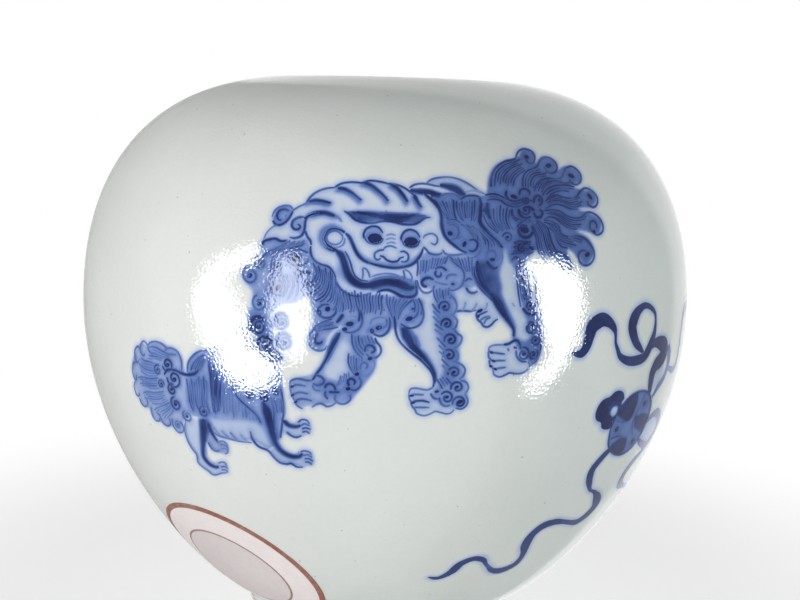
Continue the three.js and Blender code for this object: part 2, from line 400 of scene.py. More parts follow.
def glaze_nodes(tree):
    """The clear glaze over white clay: its colour, and the fine ripple of its skin as a normal."""
    place = add_node(tree, "ShaderNodeTexCoord", -1600, 0).outputs["Object"]
    level = add_node(tree, "ShaderNodeSeparateXYZ", -1400, 200, Vector=place).outputs["Z"]
    cloud = noise(tree, -1400, 0, place, CLOUD_SCALE, 3)
    grain = noise(tree, -1400, -250, place, GRAIN_SCALE, 2)
    swell = noise(tree, -1400, -500, place, SWELL_SCALE, 1)
    peel = noise(tree, -600, -500, place, PEEL_SCALE, 0)

    # The colour, paler where the glaze ran off the lip and greener where it pooled above the foot
    depth = spread(tree, -1200, 300, level, POOL_LOW * MM, POOL_HIGH * MM)
    pooled = mix(tree, -1000, 300, depth, GLAZE_DEEP, GLAZE_WHITE)
    rim = spread(tree, -1200, 500, level, (POT_HEIGHT - THIN_DEPTH) * MM, POT_HEIGHT * MM)
    thin = mix(tree, -800, 300, rim, pooled, GLAZE_THIN)
    tone = spread(tree, -1200, 0, cloud, NOISE_LOW, NOISE_HIGH, 0.965, 1.03)
    clouded = mix(tree, -600, 200, 1, thin, tone, blend_type="MULTIPLY")
    fleck = spread(tree, -1200, -150, grain, NOISE_LOW, NOISE_HIGH, 0.988, 1.01)
    flecked = mix(tree, -400, 200, 1, clouded, fleck, blend_type="MULTIPLY")

    # Specks of iron in the clay, a few of them dark
    spots = add_node(tree, "ShaderNodeTexVoronoi", -1400, -750, Vector=place, Scale=SPECK_SCALE, Randomness=1)
    near = spread(tree, -1200, -750, spots.outputs["Distance"], SPECK_CORE, SPECK_EDGE, 1, 0)
    picked = add_node(tree, "ShaderNodeSeparateColor", -1200, -950, Color=spots.outputs["Color"]).outputs[0]
    rare = spread(tree, -1000, -950, picked, SPECKLESS, 1, 0, DARKEST_SPECK)
    speck = calculate(tree, -800, -850, "MULTIPLY", near, rare)
    colour = mix(tree, -200, 200, speck, flecked, SPECK)

    ripple = calculate(tree, -1200, -400, "MULTIPLY_ADD", swell, SWELL_OVER_GRAIN, grain)
    waves = add_node(tree, "ShaderNodeBump", -400, -300, Strength=1, Distance=RIPPLE_HEIGHT * MM,
                     Height=ripple)
    bump = add_node(tree, "ShaderNodeBump", -200, -300, Strength=1, Distance=PEEL_HEIGHT * MM, Height=peel,
                    Normal=waves.outputs[0])
    return place, colour, bump.outputs[0]


glaze = bpy.data.materials.new("clear_glaze_on_porcelain")
glaze.use_nodes = True
tree = glaze.node_tree
shader = tree.nodes["Principled BSDF"]
place, colour, ripple = glaze_nodes(tree)

# The bare rim of the foot: sandy clay below a wavy edge of glaze with a rusty line under it
level = add_node(tree, "ShaderNodeSeparateXYZ", -1400, 900, Vector=place).outputs["Z"]
wobble = noise(tree, -1400, 1100, place, WOBBLE_SCALE, 2)
clay_grain = noise(tree, -1400, 1350, place, CLAY_SCALE, 4)
edge_level = spread(tree, -1200, 1100, wobble, 0, 1, BARE_LOW * MM, BARE_HIGH * MM)
above = calculate(tree, -1000, 1000, "SUBTRACT", level, edge_level)
bare = spread(tree, -800, 1000, above, -BARE_SOFTNESS * MM, BARE_SOFTNESS * MM, 1, 0)
line = spread(tree, -800, 1250, above, -SCORCH_WIDTH * MM, 0, 0, SCORCH_STRENGTH)
clay = mix(tree, -600, 1250, line, BISCUIT, SCORCH)
clay_tone = spread(tree, -800, 1450, clay_grain, NOISE_LOW, NOISE_HIGH, 0.86, 1.1)
sandy = mix(tree, -400, 1250, 1, clay, clay_tone, blend_type="MULTIPLY")
skin = mix(tree, -200, 700, bare, colour, sandy)
matt = spread(tree, -200, 900, bare, 0, 1, GLAZE_ROUGHNESS, CLAY_ROUGHNESS)
rough = add_node(tree, "ShaderNodeBump", 0, -500, Strength=bare, Distance=CLAY_GRAIN_HEIGHT * MM,
                 Height=clay_grain, Normal=ripple)
tree.links.new(skin, shader.inputs["Base Color"])
tree.links.new(matt, shader.inputs["Roughness"])
tree.links.new(rough.outputs[0], shader.inputs["Normal"])
shader.inputs["IOR"].default_value = GLAZE_IOR
pot.data.materials.append(glaze)
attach(pot, "root")
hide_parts("pot_body")


# The painter's tools. A figure is drawn in mm on a flat sheet, which is then wrapped round the pot: thin
# washes of cobalt first, soft at the edge, and then the strokes of a pointed brush, which bleed a little into
# the glaze.
PAPER_STEP = 0.08  # between the points of the sheet that hold its ink
PATH_STEP, WASH_STEP, HAIR_STEP = 0.15, 0.5, 0.6  # between the points worked out along a line
HALO_WIDTH = 0.42
HALO_INK = 0.22
SOFT_EDGE = 0.13
RIBBON_EDGE = 0.1
TIP_WIDTH = 0.12  # of a stroke's full width, where the brush lands and lifts off
HAIR_POINTS = 9
LATE_START, EARLY_END = 0.14, 0.16  # how much of its guide a hair may leave out
FAINTER_HAIR = 0.14
SCATTER = 0.618, 0.382, 0.724  # steps that scatter the starts, ends and inks of the hairs
CURL_WINDING = 0.78  # how far in towards its centre a curl winds
CORE_LONG, CORE_SHORT, CORE_ANGLE = 0.3, 0.22, 30  # of the dark core, in the curl's radius and in degrees


def through(points, step=PATH_STEP):
    """Even points on a smooth line through the given ones."""
    points = np.array(points, float)
    before = np.vstack([2 * points[0] - points[1], points[:-1]])
    after = np.vstack([points[1:], 2 * points[-1] - points[-2]])
    slopes = (after - before) / 2
    pieces = []
    for start, end, leave, arrive in zip(points[:-1], points[1:], slopes[:-1], slopes[1:]):
        count = max(2, math.ceil(np.linalg.norm(end - start) / step * 1.15))
        t = np.arange(count)[:, None] / count
        pieces.append(
            (2 * t**3 - 3 * t**2 + 1) * start
            + (t**3 - 2 * t**2 + t) * leave
            + (3 * t**2 - 2 * t**3) * end
            + (t**3 - t**2) * arrive
        )
    return np.vstack(pieces + [points[-1:]])


class Drawing:
    """Washes and brush strokes on a flat sheet, in mm, before they go round the pot."""

    def __init__(self, low, high):
        self.low, self.high = np.array(low, float), np.array(high, float)
        self.shape = tuple(np.ceil((self.high - self.low) / PAPER_STEP).astype(int) + 1)
        self.paper = np.zeros(self.shape)
        self.strokes = []
        self.move = np.array

    def places(self):
        """Where each point of the sheet lies."""
        sides = (np.arange(count) * PAPER_STEP + low for count, low in zip(self.shape, self.low))
        return np.stack(np.meshgrid(*sides, indexing="ij"), -1)

    def wash(self, ink, outline, soft=0.5):
        """Floods the inside of a closed outline with thin ink, soft at its edge."""
        outline = self.move(through(outline + [outline[0]], WASH_STEP))
        first = np.maximum(((outline.min(0) - soft - self.low) / PAPER_STEP).astype(int), 0)
        last = np.minimum(((outline.max(0) + soft - self.low) / PAPER_STEP).astype(int) + 2, self.shape)
        window = np.s_[first[0]:last[0], first[1]:last[1]]
        across = (self.low[0] + PAPER_STEP * np.arange(first[0], last[0]))[:, None]
        up = (self.low[1] + PAPER_STEP * np.arange(first[1], last[1]))[None]
        nearest = np.full((last[0] - first[0], last[1] - first[1]), 1e9)
        inside = np.zeros(nearest.shape, bool)
        for a, b in zip(outline[:-1], outline[1:]):
            along = b - a
            share = ((across - a[0]) * along[0] + (up - a[1]) * along[1]) / max(along @ along, 1e-12)
            share = np.clip(share, 0, 1)
            gap = (across - a[0] - share * along[0]) ** 2 + (up - a[1] - share * along[1]) ** 2
            nearest = np.minimum(nearest, gap)
            if a[1] != b[1]:
                crosses = (a[1] > up) != (b[1] > up)
                inside ^= crosses & (across < a[0] + (up - a[1]) * along[0] / along[1])
        signed = np.where(inside, 1, -1) * np.sqrt(nearest)
        cover = np.clip(0.5 + signed / soft, 0, 1)
        cover = cover * cover * (3 - 2 * cover)
        self.paper[window] += (ink - self.paper[window]) * cover

    def line(self, ink, width, points, taper=(0.12, 0.3)):
        """One stroke of a brush: it lands fast and lifts off slowly, and its ink gathers here and there."""
        path = self.move(through(points))
        along = np.linspace(0, 1, len(path))
        press = np.minimum(1, np.minimum(along / max(taper[0], 1e-6), (1 - along) / max(taper[1], 1e-6)))
        gathered = ink * (0.93 + 0.07 * np.cos(len(path) * PATH_STEP * along + 2.4 * len(self.strokes)))
        halves = width * (TIP_WIDTH + (1 - TIP_WIDTH) * press**0.6) / 2
        self.strokes.append((path, halves, gathered, SOFT_EDGE + 0.35 * width))

    def hair(self, ink, width, count, one, other, **more):
        """Fine lines that run side by side from one guide to the other."""
        guides = through(one, HAIR_STEP), through(other, HAIR_STEP)
        points = max(4, min(len(guides[0]), len(guides[1]), HAIR_POINTS))
        one, other = (guide[np.linspace(0, len(guide) - 1, points).round().astype(int)] for guide in guides)
        for number, share in enumerate(np.linspace(0, 1, count)):
            late, early, light = (number * step % 1 for step in SCATTER)
            hair = through(one + (other - one) * share)
            first = round(LATE_START * late * len(hair))
            last = len(hair) - round(EARLY_END * early * len(hair))
            hair = hair[first:last]
            self.line(ink - FAINTER_HAIR * light, width, hair[:: max(1, len(hair) // 6)], **more)

    def curl(self, x, y, radius, start, turns, ink=0.75, width=0.17, core=True):
        """A lock's curled tip: a spiral wound in from start, in degrees, round its centre."""
        steps = max(6, round(abs(turns) * 10))
        angles = math.radians(start) + math.tau * turns * np.arange(steps + 1) / steps
        reach = radius * (1 - CURL_WINDING * np.arange(steps + 1) / steps)
        points = np.stack([x + reach * np.cos(angles), y + reach * np.sin(angles)], -1)
        self.line(ink, width, points, taper=(0.1, 0.12))
        if core:
            core_x, core_y = x + 0.1 * radius * math.cos(angles[-1]), y + 0.1 * radius * math.sin(angles[-1])
            long, short = CORE_LONG * radius, CORE_SHORT * radius
            self.dab(core_x, core_y, long, short, CORE_ANGLE, min(1, ink + 0.15))

    def dab(self, x, y, long, short, angle, ink):
        """One touch of the brush: a filled oval."""
        reach = np.array([math.cos(math.radians(angle)), math.sin(math.radians(angle))]) * long
        along = np.linspace(-1, 1, 9)
        path = self.move(np.array([x, y]) + along[:, None] * reach)
        halves = short * np.sqrt(np.clip(1 - along**2, 0.02, 1))
        self.strokes.append((path, halves, np.full(len(path), ink), SOFT_EDGE))

    def band(self, ink, points):
        """A ribbon: one broad stroke through points that each give its width there."""
        path = through(points)
        widths = np.maximum(path[:, 2], 0.1)
        inks = ink * (0.8 + 0.2 * np.clip(widths, 0, 1))
        self.strokes.append((path[:, :2], widths / 2, inks, RIBBON_EDGE))

    def ink_at(self, places):
        """How much ink the sheet holds at any place on it."""
        cell = np.clip((places - self.low) / PAPER_STEP, 0, np.array(self.shape) - 1.001)
        i, j = np.moveaxis(cell.astype(int), -1, 0)
        di, dj = np.moveaxis(cell - np.floor(cell), -1, 0)
        near = self.paper[i, j] * (1 - dj) + self.paper[i, j + 1] * dj
        far = self.paper[i + 1, j] * (1 - dj) + self.paper[i + 1, j + 1] * dj
        return near * (1 - di) + far * di

    def around(self, place, reach):
        """The part of the sheet within reach of a place, and how far off it lies."""
        low = np.maximum(((place - reach - self.low) / PAPER_STEP).astype(int), 0)
        high = np.minimum(((place + reach - self.low) / PAPER_STEP).astype(int) + 2, self.shape)
        dx = self.low[0] + PAPER_STEP * np.arange(low[0], high[0]) - place[0]
        dy = self.low[1] + PAPER_STEP * np.arange(low[1], high[1]) - place[1]
        return np.s_[low[0]:high[0], low[1]:high[1]], np.hypot(dx[:, None], dy[None])

    def soak(self):
        """Lets the strokes bleed into the sheet around them."""
        halo = np.zeros(self.shape)
        for path, halves, inks, _ in self.strokes:
            for place, half, ink in zip(path, halves, inks):
                window, far = self.around(place, half + 2 * HALO_WIDTH)
                bled = HALO_INK * ink * np.exp(-((np.maximum(far - half, 0) / HALO_WIDTH) ** 2))
                halo[window] = np.maximum(halo[window], bled)
        self.paper = 1 - (1 - self.paper) * (1 - halo)

    def press(self, path, halves, inks, soft):
        """Marks a stroke on the sheet, so that the next ones are laid over it."""
        for place, half, ink in zip(path, halves, inks):
            window, far = self.around(place, half + soft)
            mark = ink * np.clip(0.5 + (half - far) / soft, 0, 1)
            self.paper[window] = np.maximum(self.paper[window], mark)


# The lion: a traditional guardian lion that strides to the left and turns its broad face to the front. It is
# painted in cobalt: pale washes, fine lines of hair that end in curls, and darker strokes on the backs of the
# legs.
def draw_lion(d):
    line, hair, curl, dab, wash = d.line, d.hair, d.curl, d.dab, d.wash

    # Thin washes, from the back of the body forward
    wash(0.45, [
        (7.2, 10.8), (7.8, 13.5), (9, 15), (11.5, 15.9), (12.6, 17.2), (13.9, 16.6), (14, 15.2), (15.2, 16.2),
        (16.9, 15.4), (16.9, 14.2), (18.3, 14.8), (20.2, 14.2), (20.5, 12.8), (19, 12.2), (20.4, 11.6),
        (22.4, 11.4), (22.8, 10.2), (21.6, 9.4), (19.5, 9.2), (21.4, 8.6), (23.1, 7.6), (22.8, 6.2),
        (21.6, 6.2), (19, 6.6), (21, 5.5), (21.7, 3.8), (20.4, 2.5), (19.2, 3.3), (17.6, 4.4), (18.2, 2),
        (16.6, 2.3), (15, 4), (12.5, 4), (11.6, 0.5), (14, -4), (13.8, -8.4), (12.4, -8.6), (10.5, -6),
        (10.2, -4.4), (8.6, -1.6), (5.6, 0.6), (2, 6), (1, 10.6), (4, 11),
    ], 0.5)
    wash(0.16, [(0, 12.2), (1.3, 12.9), (3, 13.1), (4.6, 12.7), (6, 11.9), (7.4, 11), (4, 11.2)], 0.4)
    wash(0.42, [(1.6, 9.9), (4, 10.9), (7, 10.7), (9.5, 9.8), (13, 9.6), (13.6, 6.2), (11, 4.4), (9, 4.6),
                (8.4, 2.4), (5.8, 3.2), (4.2, 4.4), (2.2, 6.4)], 0.6)
    wash(0.53, [(10.2, 10.4), (12, 11.2), (13.8, 10.9), (14.7, 9.4), (14.2, 7.6), (13, 6), (12.4, 3.9),
                (11, 3.3), (10.5, 5), (10.9, 7), (10.2, 8.8)], 1.3)
    wash(0.14, [(9.2, 4.8), (9.9, 3), (11.1, 1.6), (11.4, -1.2), (12.1, -3.8), (12.6, -5.6), (11, -5.8),
                (10.4, -4.2), (9.2, -1.6), (8.6, 0.2), (8.7, 2.2)], 0.7)
    wash(0.12, [(7.5, -6.6), (8.4, -6.3), (10.5, -6), (11.2, -7), (12.8, -8.6), (12.3, -9.4), (10.4, -9.7),
                (8.4, -9.8), (7.8, -8.6)], 0.3)
    wash(0.66, [(6, 3.1), (7.5, 2.9), (8.8, 0.6), (8.9, -0.8), (10.4, -3.8), (10.3, -4.3), (8.6, -2.6),
                (7.4, -0.6), (6.2, 0.9)], 1)
    wash(0.14, [(3, 0.1), (5.6, -0.1), (7.4, -0.7), (8.6, -2.4), (8.4, -3.3), (7, -4), (6.2, -3), (5.9, -2.3),
                (3.6, -2.4)], 0.4)
    wash(0.14, [
        (-0.6, -0.4), (0.8, -0.6), (1.4, -4), (2, -8), (2.6, -11), (3.6, -13.9), (1.6, -13.9), (-0.4, -14.1),
        (-1.2, -12.6), (-1.2, -11.4), (1.2, -11), (1.1, -9.4), (-0.4, -7.2), (-2.6, -5.4), (-3.2, -3.6),
        (-2.4, -2),
    ], 0.5)
    wash(0.27, [
        (0.9, 0), (2.8, 0.2), (3.6, -1.8), (3.7, -4), (4.2, -5.6), (3.9, -7.6), (4.6, -9), (5.2, -11.2),
        (5.2, -13), (4.2, -13.7), (2.4, -13.2), (1.2, -12.2), (2, -10), (2.3, -7), (1.4, -4),
    ], 0.6)
    wash(0.38, [(1.1, 0.2), (1.1, -2), (1.2, -4), (1.7, -6), (2.3, -8), (2.4, -10.1), (3.4, -10.6),
                (4.1, -9.1), (3.8, -6), (3.3, -3.6), (3.4, -1), (2.8, 0)], 0.9)
    wash(0.7, [(-2.9, -4), (-1.7, -4.4), (-0.9, -6.2), (0.3, -7.4), (1.2, -9), (1.5, -10.6), (1, -9.2),
               (-0.6, -7.4), (-2.2, -5.8)], 0.5)
    wash(0.27, [
        (-12.4, -10), (-11.3, -8.4), (-10.3, -5.6), (-9.2, -4.6), (-6.4, -4.8), (-5.3, -6.4), (-5.4, -9),
        (-6.9, -11.4), (-8, -12.9), (-10, -13.4), (-12.5, -13.8), (-14, -14), (-14.9, -12.4), (-14.8, -10.9),
    ], 0.4)
    wash(0.14, [(-9.5, -6), (-8.3, -6.6), (-8.5, -9), (-9, -10.8), (-10.6, -10.6), (-11, -9)], 0.9)
    wash(0.35, [(-8.2, -5), (-6, -5.4), (-5.4, -7), (-5.6, -9.4), (-7, -11.4), (-8.6, -12.9), (-11, -12.4),
                (-12.3, -11.2), (-11, -10.4), (-8.4, -10.6), (-7.8, -8.4)], 0.6)
    wash(0.33, [
        (-18.9, 4.4), (-17, 5.1), (-15, 4.9), (-13, 5.2), (-10, 2.4), (-9.6, -0.5), (-1, -0.9), (-0.2, -2.4),
        (-0.6, -3.9), (-3.4, -4.4), (-4.4, -5.2), (-8, -5), (-9.4, -4.4), (-10.6, -5.4), (-11.4, -7.2),
        (-12.9, -6.6), (-12.6, -4.6), (-12.7, -2.6), (-13.2, -1.2), (-14.8, -2.2), (-16.5, -2.5),
        (-18.4, -4.4), (-19.8, -3.2), (-19.8, -1.4), (-21, 0.4), (-20.6, 1.8), (-19, 2),
    ], 0.5)
    wash(0.38, [(-20.4, -3), (-18.2, -3.4), (-17.4, -4.4), (-17.2, -6), (-17, -7.6), (-16.2, -8.8),
                (-17, -9.2), (-19, -8.4), (-20.2, -6.4), (-20.4, -4.8)], 0.4)
    for x, y in ((-16.2, -4.4), (-15.8, -6.6)):
        wash(0.2, [(x - 0.9, y - 0.5), (x - 0.7, y + 0.6), (x, y + 0.9), (x + 0.8, y + 0.5),
                   (x + 0.8, y - 0.4), (x, y - 0.9)], 0.3)
    wash(0.32, [(-0.9, 3), (0.2, 4.2), (2, 4.1), (4.2, 4), (5.8, 3.4), (5.7, 0.4), (4, 0.1), (2, -0.2),
                (0.2, 0.2), (-0.8, 1.2)], 0.4)

    # The face is left pale
    wash(0.11, [
        (-18.6, 4.8), (-17.3, 6.6), (-15.2, 8.4), (-13.4, 9.6), (-12, 10.9), (-10, 11.5), (-7.6, 12.1),
        (-5.4, 12.3), (-3.2, 12), (-1.2, 10.9), (0, 10.8), (1.5, 9), (1.9, 6.8), (3.2, 5), (4.4, 4.1),
        (2.2, 4), (0.4, 4.2), (-0.4, 4.2), (-0.8, 1), (-1, -0.6), (-2.4, -0.9), (-4.4, -0.4), (-6.4, -0.7),
        (-8.4, -0.9), (-9.7, 0.2), (-10.4, 2), (-12.2, 2.6), (-12.9, 4), (-13.5, 5.2), (-15, 5),
    ], 0.35)
    wash(0.34, [(-17.5, 7.4), (-16.8, 8.7), (-15.5, 8.9), (-15, 8.2), (-16, 6.9), (-17.2, 6.7)], 0.3)
    wash(0.28, [(-13.6, 7.4), (-14.4, 7.5), (-15.1, 6.8), (-14.7, 6.1), (-13.7, 5.6)], 0.3)
    wash(0.3, [(-12.8, 8), (-11.4, 8.4), (-9.6, 8), (-10.2, 7.4), (-11.4, 7.8), (-13, 7.4)], 0.8)
    wash(0.36, [(-9.8, 2.6), (-8.6, 1.4), (-7, 0.6), (-8, 0.2), (-9.4, 0.8), (-10, 1.6)], 0.9)
    wash(0.58, [(-8.9, 8.5), (-7.2, 8.7), (-2, 8.6), (0.2, 8.3), (-0.9, 7.4), (-3, 7.4), (-5, 7.6), (-7, 7.3),
                (-8.2, 7.8)], 0.3)
    wash(0.3, [(-6.8, 5.6), (-6.3, 6.7), (-5.2, 6.8), (-4.8, 5.9), (-5.6, 5)], 0.25)
    wash(0.3, [(-2.6, 5.6), (-2.1, 6.5), (-1, 6.4), (-0.6, 5.6), (-1.6, 4.8)], 0.25)
    wash(0.3, [(-8.6, 5.4), (-8, 4.4), (-7, 3), (-5, 2.5), (-2.6, 2.4), (-1, 3), (-0.3, 4.4), (-1.2, 3.6),
               (-3, 2.9), (-5.6, 3.1), (-7.4, 4)], 0.4)
    wash(0.46, [(-6.4, 0.7), (-5.2, 1.3), (-3.4, 1.5), (-1.8, 1.2), (-1.1, 0.6), (-1.2, -0.6), (-2.2, -0.7),
                (-4, -0.1), (-6, -0.3)], 0.3)

    # Crest: scalloped outline and a dark brush mark under each lobe
    line(0.8, 0.22, [(-13.5, 9.35), (-12.9, 10.2), (-12.1, 10.85), (-11.1, 11.25), (-10.1, 11.4)])
    line(0.85, 0.22, [(-10.2, 11.4), (-9.4, 11.9), (-8.4, 12.13), (-7.4, 12.12), (-6.7, 12)])
    line(0.85, 0.22, [(-7, 12.15), (-6.1, 12.4), (-5.1, 12.33), (-4.3, 12.15), (-3.7, 11.9)])
    line(0.85, 0.22, [(-4.1, 12.1), (-3.3, 12.03), (-2.5, 11.75), (-1.8, 11.3), (-1.2, 10.75), (-0.9, 10.2)])
    for mark in (
        [(-13.3, 9.5), (-12.4, 9.75), (-11.6, 9.7), (-10.6, 9.5)],
        [(-9.8, 11.35), (-9, 11.25), (-8.2, 10.85), (-7.6, 10.35), (-7.1, 9.95)],
        [(-6.9, 12.15), (-6, 11.85), (-5.2, 11.2), (-4.6, 10.6), (-4.1, 9.95)],
        [(-3.8, 12.05), (-3.1, 11.6), (-2.6, 11), (-2.25, 10.5), (-1.9, 9.9)],
        [(-1.2, 10.8), (-0.95, 10.3), (-0.7, 9.8), (-0.35, 9.3)],
    ):
        wash(0.5, mark + [(x - 0.3, y - 0.5) for x, y in mark[::-1]], 0.9)
        line(0.9, 0.4, mark, taper=(0.15, 0.75))
    line(0.6, 0.16, [(-12.9, 9.3), (-12, 9.35), (-11.2, 9.3)])

    # Ear, temple curl and the outline of the cheek on the left
    line(0.6, 0.2, [(-14.9, 8.5), (-15.5, 8.95), (-16.4, 8.85), (-17.2, 8.35), (-17.6, 7.5)])
    line(0.9, 0.26, [(-17.5, 7.1), (-17.1, 6.65), (-16.5, 6.65), (-15.9, 7), (-15.4, 7.6), (-15.05, 8.3)])
    line(0.8, 0.26, [(-15.5, 8.35), (-16.1, 8.5), (-16.7, 8.25), (-16.95, 7.7), (-16.75, 7.25), (-16.4, 7.2)])
    line(0.65, 0.16, [(-15.1, 8.35), (-14.4, 8.85), (-13.6, 9.25), (-13.1, 9.5)])
    line(0.85, 0.26, [(-13.7, 7.7), (-14.4, 7.6), (-15, 7.2), (-15.15, 6.6), (-14.8, 6.2), (-14.3, 6.3),
                      (-14.15, 6.6), (-14.45, 6.85)])
    line(0.5, 0.15, [(-16.9, 6.6), (-17.6, 6.25), (-18.2, 5.6), (-18.6, 4.8)])
    line(0.95, 0.28, [(-18.8, 4.1), (-18.5, 4.65), (-17.8, 4.9), (-17.1, 5.02), (-16.4, 4.78), (-15.6, 4.9)])
    line(0.85, 0.24, [(-15.4, 5.25), (-14.8, 5.2), (-14.1, 5.45), (-13.75, 5.9), (-13.6, 6.6), (-13.55, 7.2),
                      (-13.2, 7.8), (-12.6, 8.1), (-11.9, 8.25)])
    line(0.97, 0.5, [(-13.7, 7.5), (-13, 7.95), (-12.2, 8.22), (-11.3, 8.3), (-10.5, 8.1), (-9.95, 7.9)],
         taper=(0.35, 0.2))
    line(0.55, 0.3, [(-10.2, 8), (-9.7, 7.75), (-9.35, 7.3)])
    line(0.8, 0.24, [(-13.6, 6.2), (-13.3, 5.45), (-12.95, 5), (-12.85, 4.5)])
    line(0.8, 0.22, [(-12.9, 4.4), (-12.9, 3.8), (-12.75, 3.2), (-12.3, 2.7), (-11.7, 2.4), (-10.9, 2.2),
                     (-10.45, 1.8), (-10.1, 1.2), (-9.95, 0.6)])
    line(0.85, 0.26, [(-10.1, 1), (-9.85, 0.3), (-9.4, -0.3), (-8.8, -0.7), (-8.1, -0.95), (-7.3, -0.95),
                      (-6.6, -0.8), (-6, -0.55)])

    # The rolled corner of the mouth, the lips and the teeth
    line(0.5, 1, [(-9.3, 6.5), (-10.4, 6.7), (-11.3, 6.2), (-11.6, 5.3), (-11.2, 4.5), (-10.4, 4.1)],
         taper=(0.5, 0.3))
    line(0.95, 0.55, [(-9, 6.1), (-9.7, 6.45), (-10.5, 6.5), (-11.2, 6), (-11.45, 5.3), (-11.15, 4.6),
                      (-10.5, 4.2), (-9.8, 4)], taper=(0.5, 0.1))
    line(0.65, 0.16, [(-9.3, 5.2), (-9.3, 5.75), (-9.9, 6.2), (-10.6, 6.1), (-11.05, 5.6), (-10.9, 5),
                      (-10.3, 4.7), (-9.7, 4.8), (-9.3, 5.2)])
    line(0.5, 0.15, [(-9, 5.5), (-9.1, 4.9), (-9.5, 4.5), (-10, 4.4)])
    line(1, 0.8, [
        (-10, 4), (-9.4, 3.5), (-9.1, 2.8), (-8.85, 2), (-8.5, 1.2), (-7.9, 0.6), (-7.1, 0.3), (-6.2, 0.3),
        (-5.2, 0.6), (-4.2, 0.78), (-3.3, 0.65), (-2.4, 0.35), (-1.7, 0.12), (-1.05, 0.25),
    ], taper=(0.06, 0.12))
    line(0.8, 0.15,
         [(-9, 4), (-8.6, 3.3), (-8.3, 2.5), (-8.1, 1.8), (-7.75, 1.2), (-7.2, 0.85), (-6.4, 0.75)])
    line(0.4, 0.3, [(-8.2, 0.75), (-7.3, 0.42), (-6.2, 0.45), (-5.2, 0.75), (-4.2, 0.95), (-3.2, 0.8)])
    line(0.92, 0.38, [(-8.95, 6.05), (-8.5, 5.6), (-8.2, 5), (-7.9, 4.3), (-7.5, 3.6), (-6.9, 3.05),
                      (-6.2, 2.75), (-5.2, 2.5)], taper=(0.1, 0.5))
    line(0.9, 0.28, [(-6.4, 2.8), (-5.2, 2.5), (-4.2, 2.35), (-3.4, 2.3), (-2.6, 2.4), (-1.8, 2.6),
                     (-1.2, 2.95), (-0.75, 3.5), (-0.45, 4), (-0.25, 4.6)], taper=(0.2, 0.2))
    line(0.65, 0.15, [(-7, 2.2), (-6.95, 1.6), (-7, 0.95)])
    line(0.65, 0.15, [(-7, 2.2), (-6.65, 2.1), (-6.35, 1.7), (-6.15, 1.1)])
    line(0.65, 0.16, [(-2.5, 2.1), (-2.35, 1.5), (-2.35, 0.95)])
    line(0.65, 0.16, [(-2.35, 2.15), (-1.85, 1.9), (-1.5, 1.3), (-1.6, 0.8)])
    line(0.5, 0.16, [(-6, 1.25), (-5.3, 1.5), (-4.4, 1.65), (-3.5, 1.6), (-2.7, 1.35)])
    line(0.4, 0.14, [(-5.9, 1.05), (-5, 1.25), (-4, 1.35), (-3, 1.15)])
    line(0.92, 0.3, [(-5.4, -0.5), (-4.8, -0.25), (-4.1, -0.2), (-3.4, -0.45), (-2.7, -0.8), (-2, -0.92),
                     (-1.3, -0.8), (-0.95, -0.4), (-1, 0.3), (-1.05, 1)], taper=(0.3, 0.2))

    # Brow, eyes and nose
    line(0.97, 0.75, [(-7.7, 8.45), (-6.7, 8.35), (-5.6, 8.3), (-4.8, 8.1), (-4, 8.05), (-3.2, 7.95),
                      (-2.4, 8.05), (-1.4, 8.3), (-0.6, 8.4)], taper=(0.45, 0.35))
    line(0.95, 0.55, [(-5.4, 8.2), (-4.6, 7.9), (-3.8, 7.75), (-3, 7.55), (-2.5, 7.5)], taper=(0.3, 0.3))
    line(0.85, 0.2, [
        (-9.1, 8.6), (-8.5, 8.2), (-8, 7.7), (-7.4, 7.42), (-6.6, 7.27), (-5.8, 7.3), (-5, 7.5), (-4.2, 7.55),
        (-3.4, 7.45), (-2.8, 7.28), (-2, 7.22), (-1.3, 7.25), (-0.7, 7.5), (-0.1, 8), (0.6, 8.15),
    ], taper=(0.05, 0.1))
    hair(0.87, 0.15, 5, [(-3.4, 7.7), (-2.7, 8.1), (-2, 8.5)], [(-1.7, 7.9), (-0.9, 8.2), (0.1, 8.35)])
    hair(0.77, 0.14, 4, [(-8.2, 8.5), (-7.4, 8.2), (-6.4, 8.1)], [(-7.8, 7.8), (-6.8, 7.65), (-5.6, 7.8)])
    line(0.92, 0.2, [(-6.75, 5.35), (-6.92, 5.9), (-6.6, 6.6), (-5.9, 6.93), (-5.2, 6.8), (-4.75, 6.2)])
    line(0.92, 0.2, [(-2.6, 5.2), (-2.72, 5.7), (-2.35, 6.4), (-1.7, 6.66), (-1, 6.4), (-0.6, 5.8)])
    line(0.75, 0.16, [(-6.8, 5.6), (-6.5, 5.15), (-6, 4.93), (-5.5, 4.9), (-5, 5.1), (-4.7, 5.6)])
    line(0.75, 0.16, [(-2.65, 5.5), (-2.4, 4.95), (-1.9, 4.68), (-1.4, 4.65), (-0.9, 4.9), (-0.6, 5.5)])
    dab(-5.62, 5.52, 0.82, 0.6, 0, 1)
    dab(-1.62, 5.22, 0.82, 0.58, 0, 1)
    for height in (6, 5.55, 5.1):
        line(0.5, 0.18, [(-4.4, height - 0.12), (-3.9, height + 0.07), (-3.3, height - 0.03)])
    line(0.65, 0.15, [(-4.7, 4.4), (-4.3, 4.68), (-3.8, 4.73), (-3.2, 4.5)])
    line(0.8, 0.18, [(-4.6, 4.3), (-5.2, 4.2), (-5.65, 3.85), (-5.65, 3.35), (-5.3, 3.15), (-5, 3.35)])
    line(0.88, 0.17,
         [(-5.1, 3.6), (-4.7, 3.5), (-4.3, 3.15), (-3.7, 2.97), (-3.1, 3.1), (-2.85, 3.4), (-2.4, 3.55)])
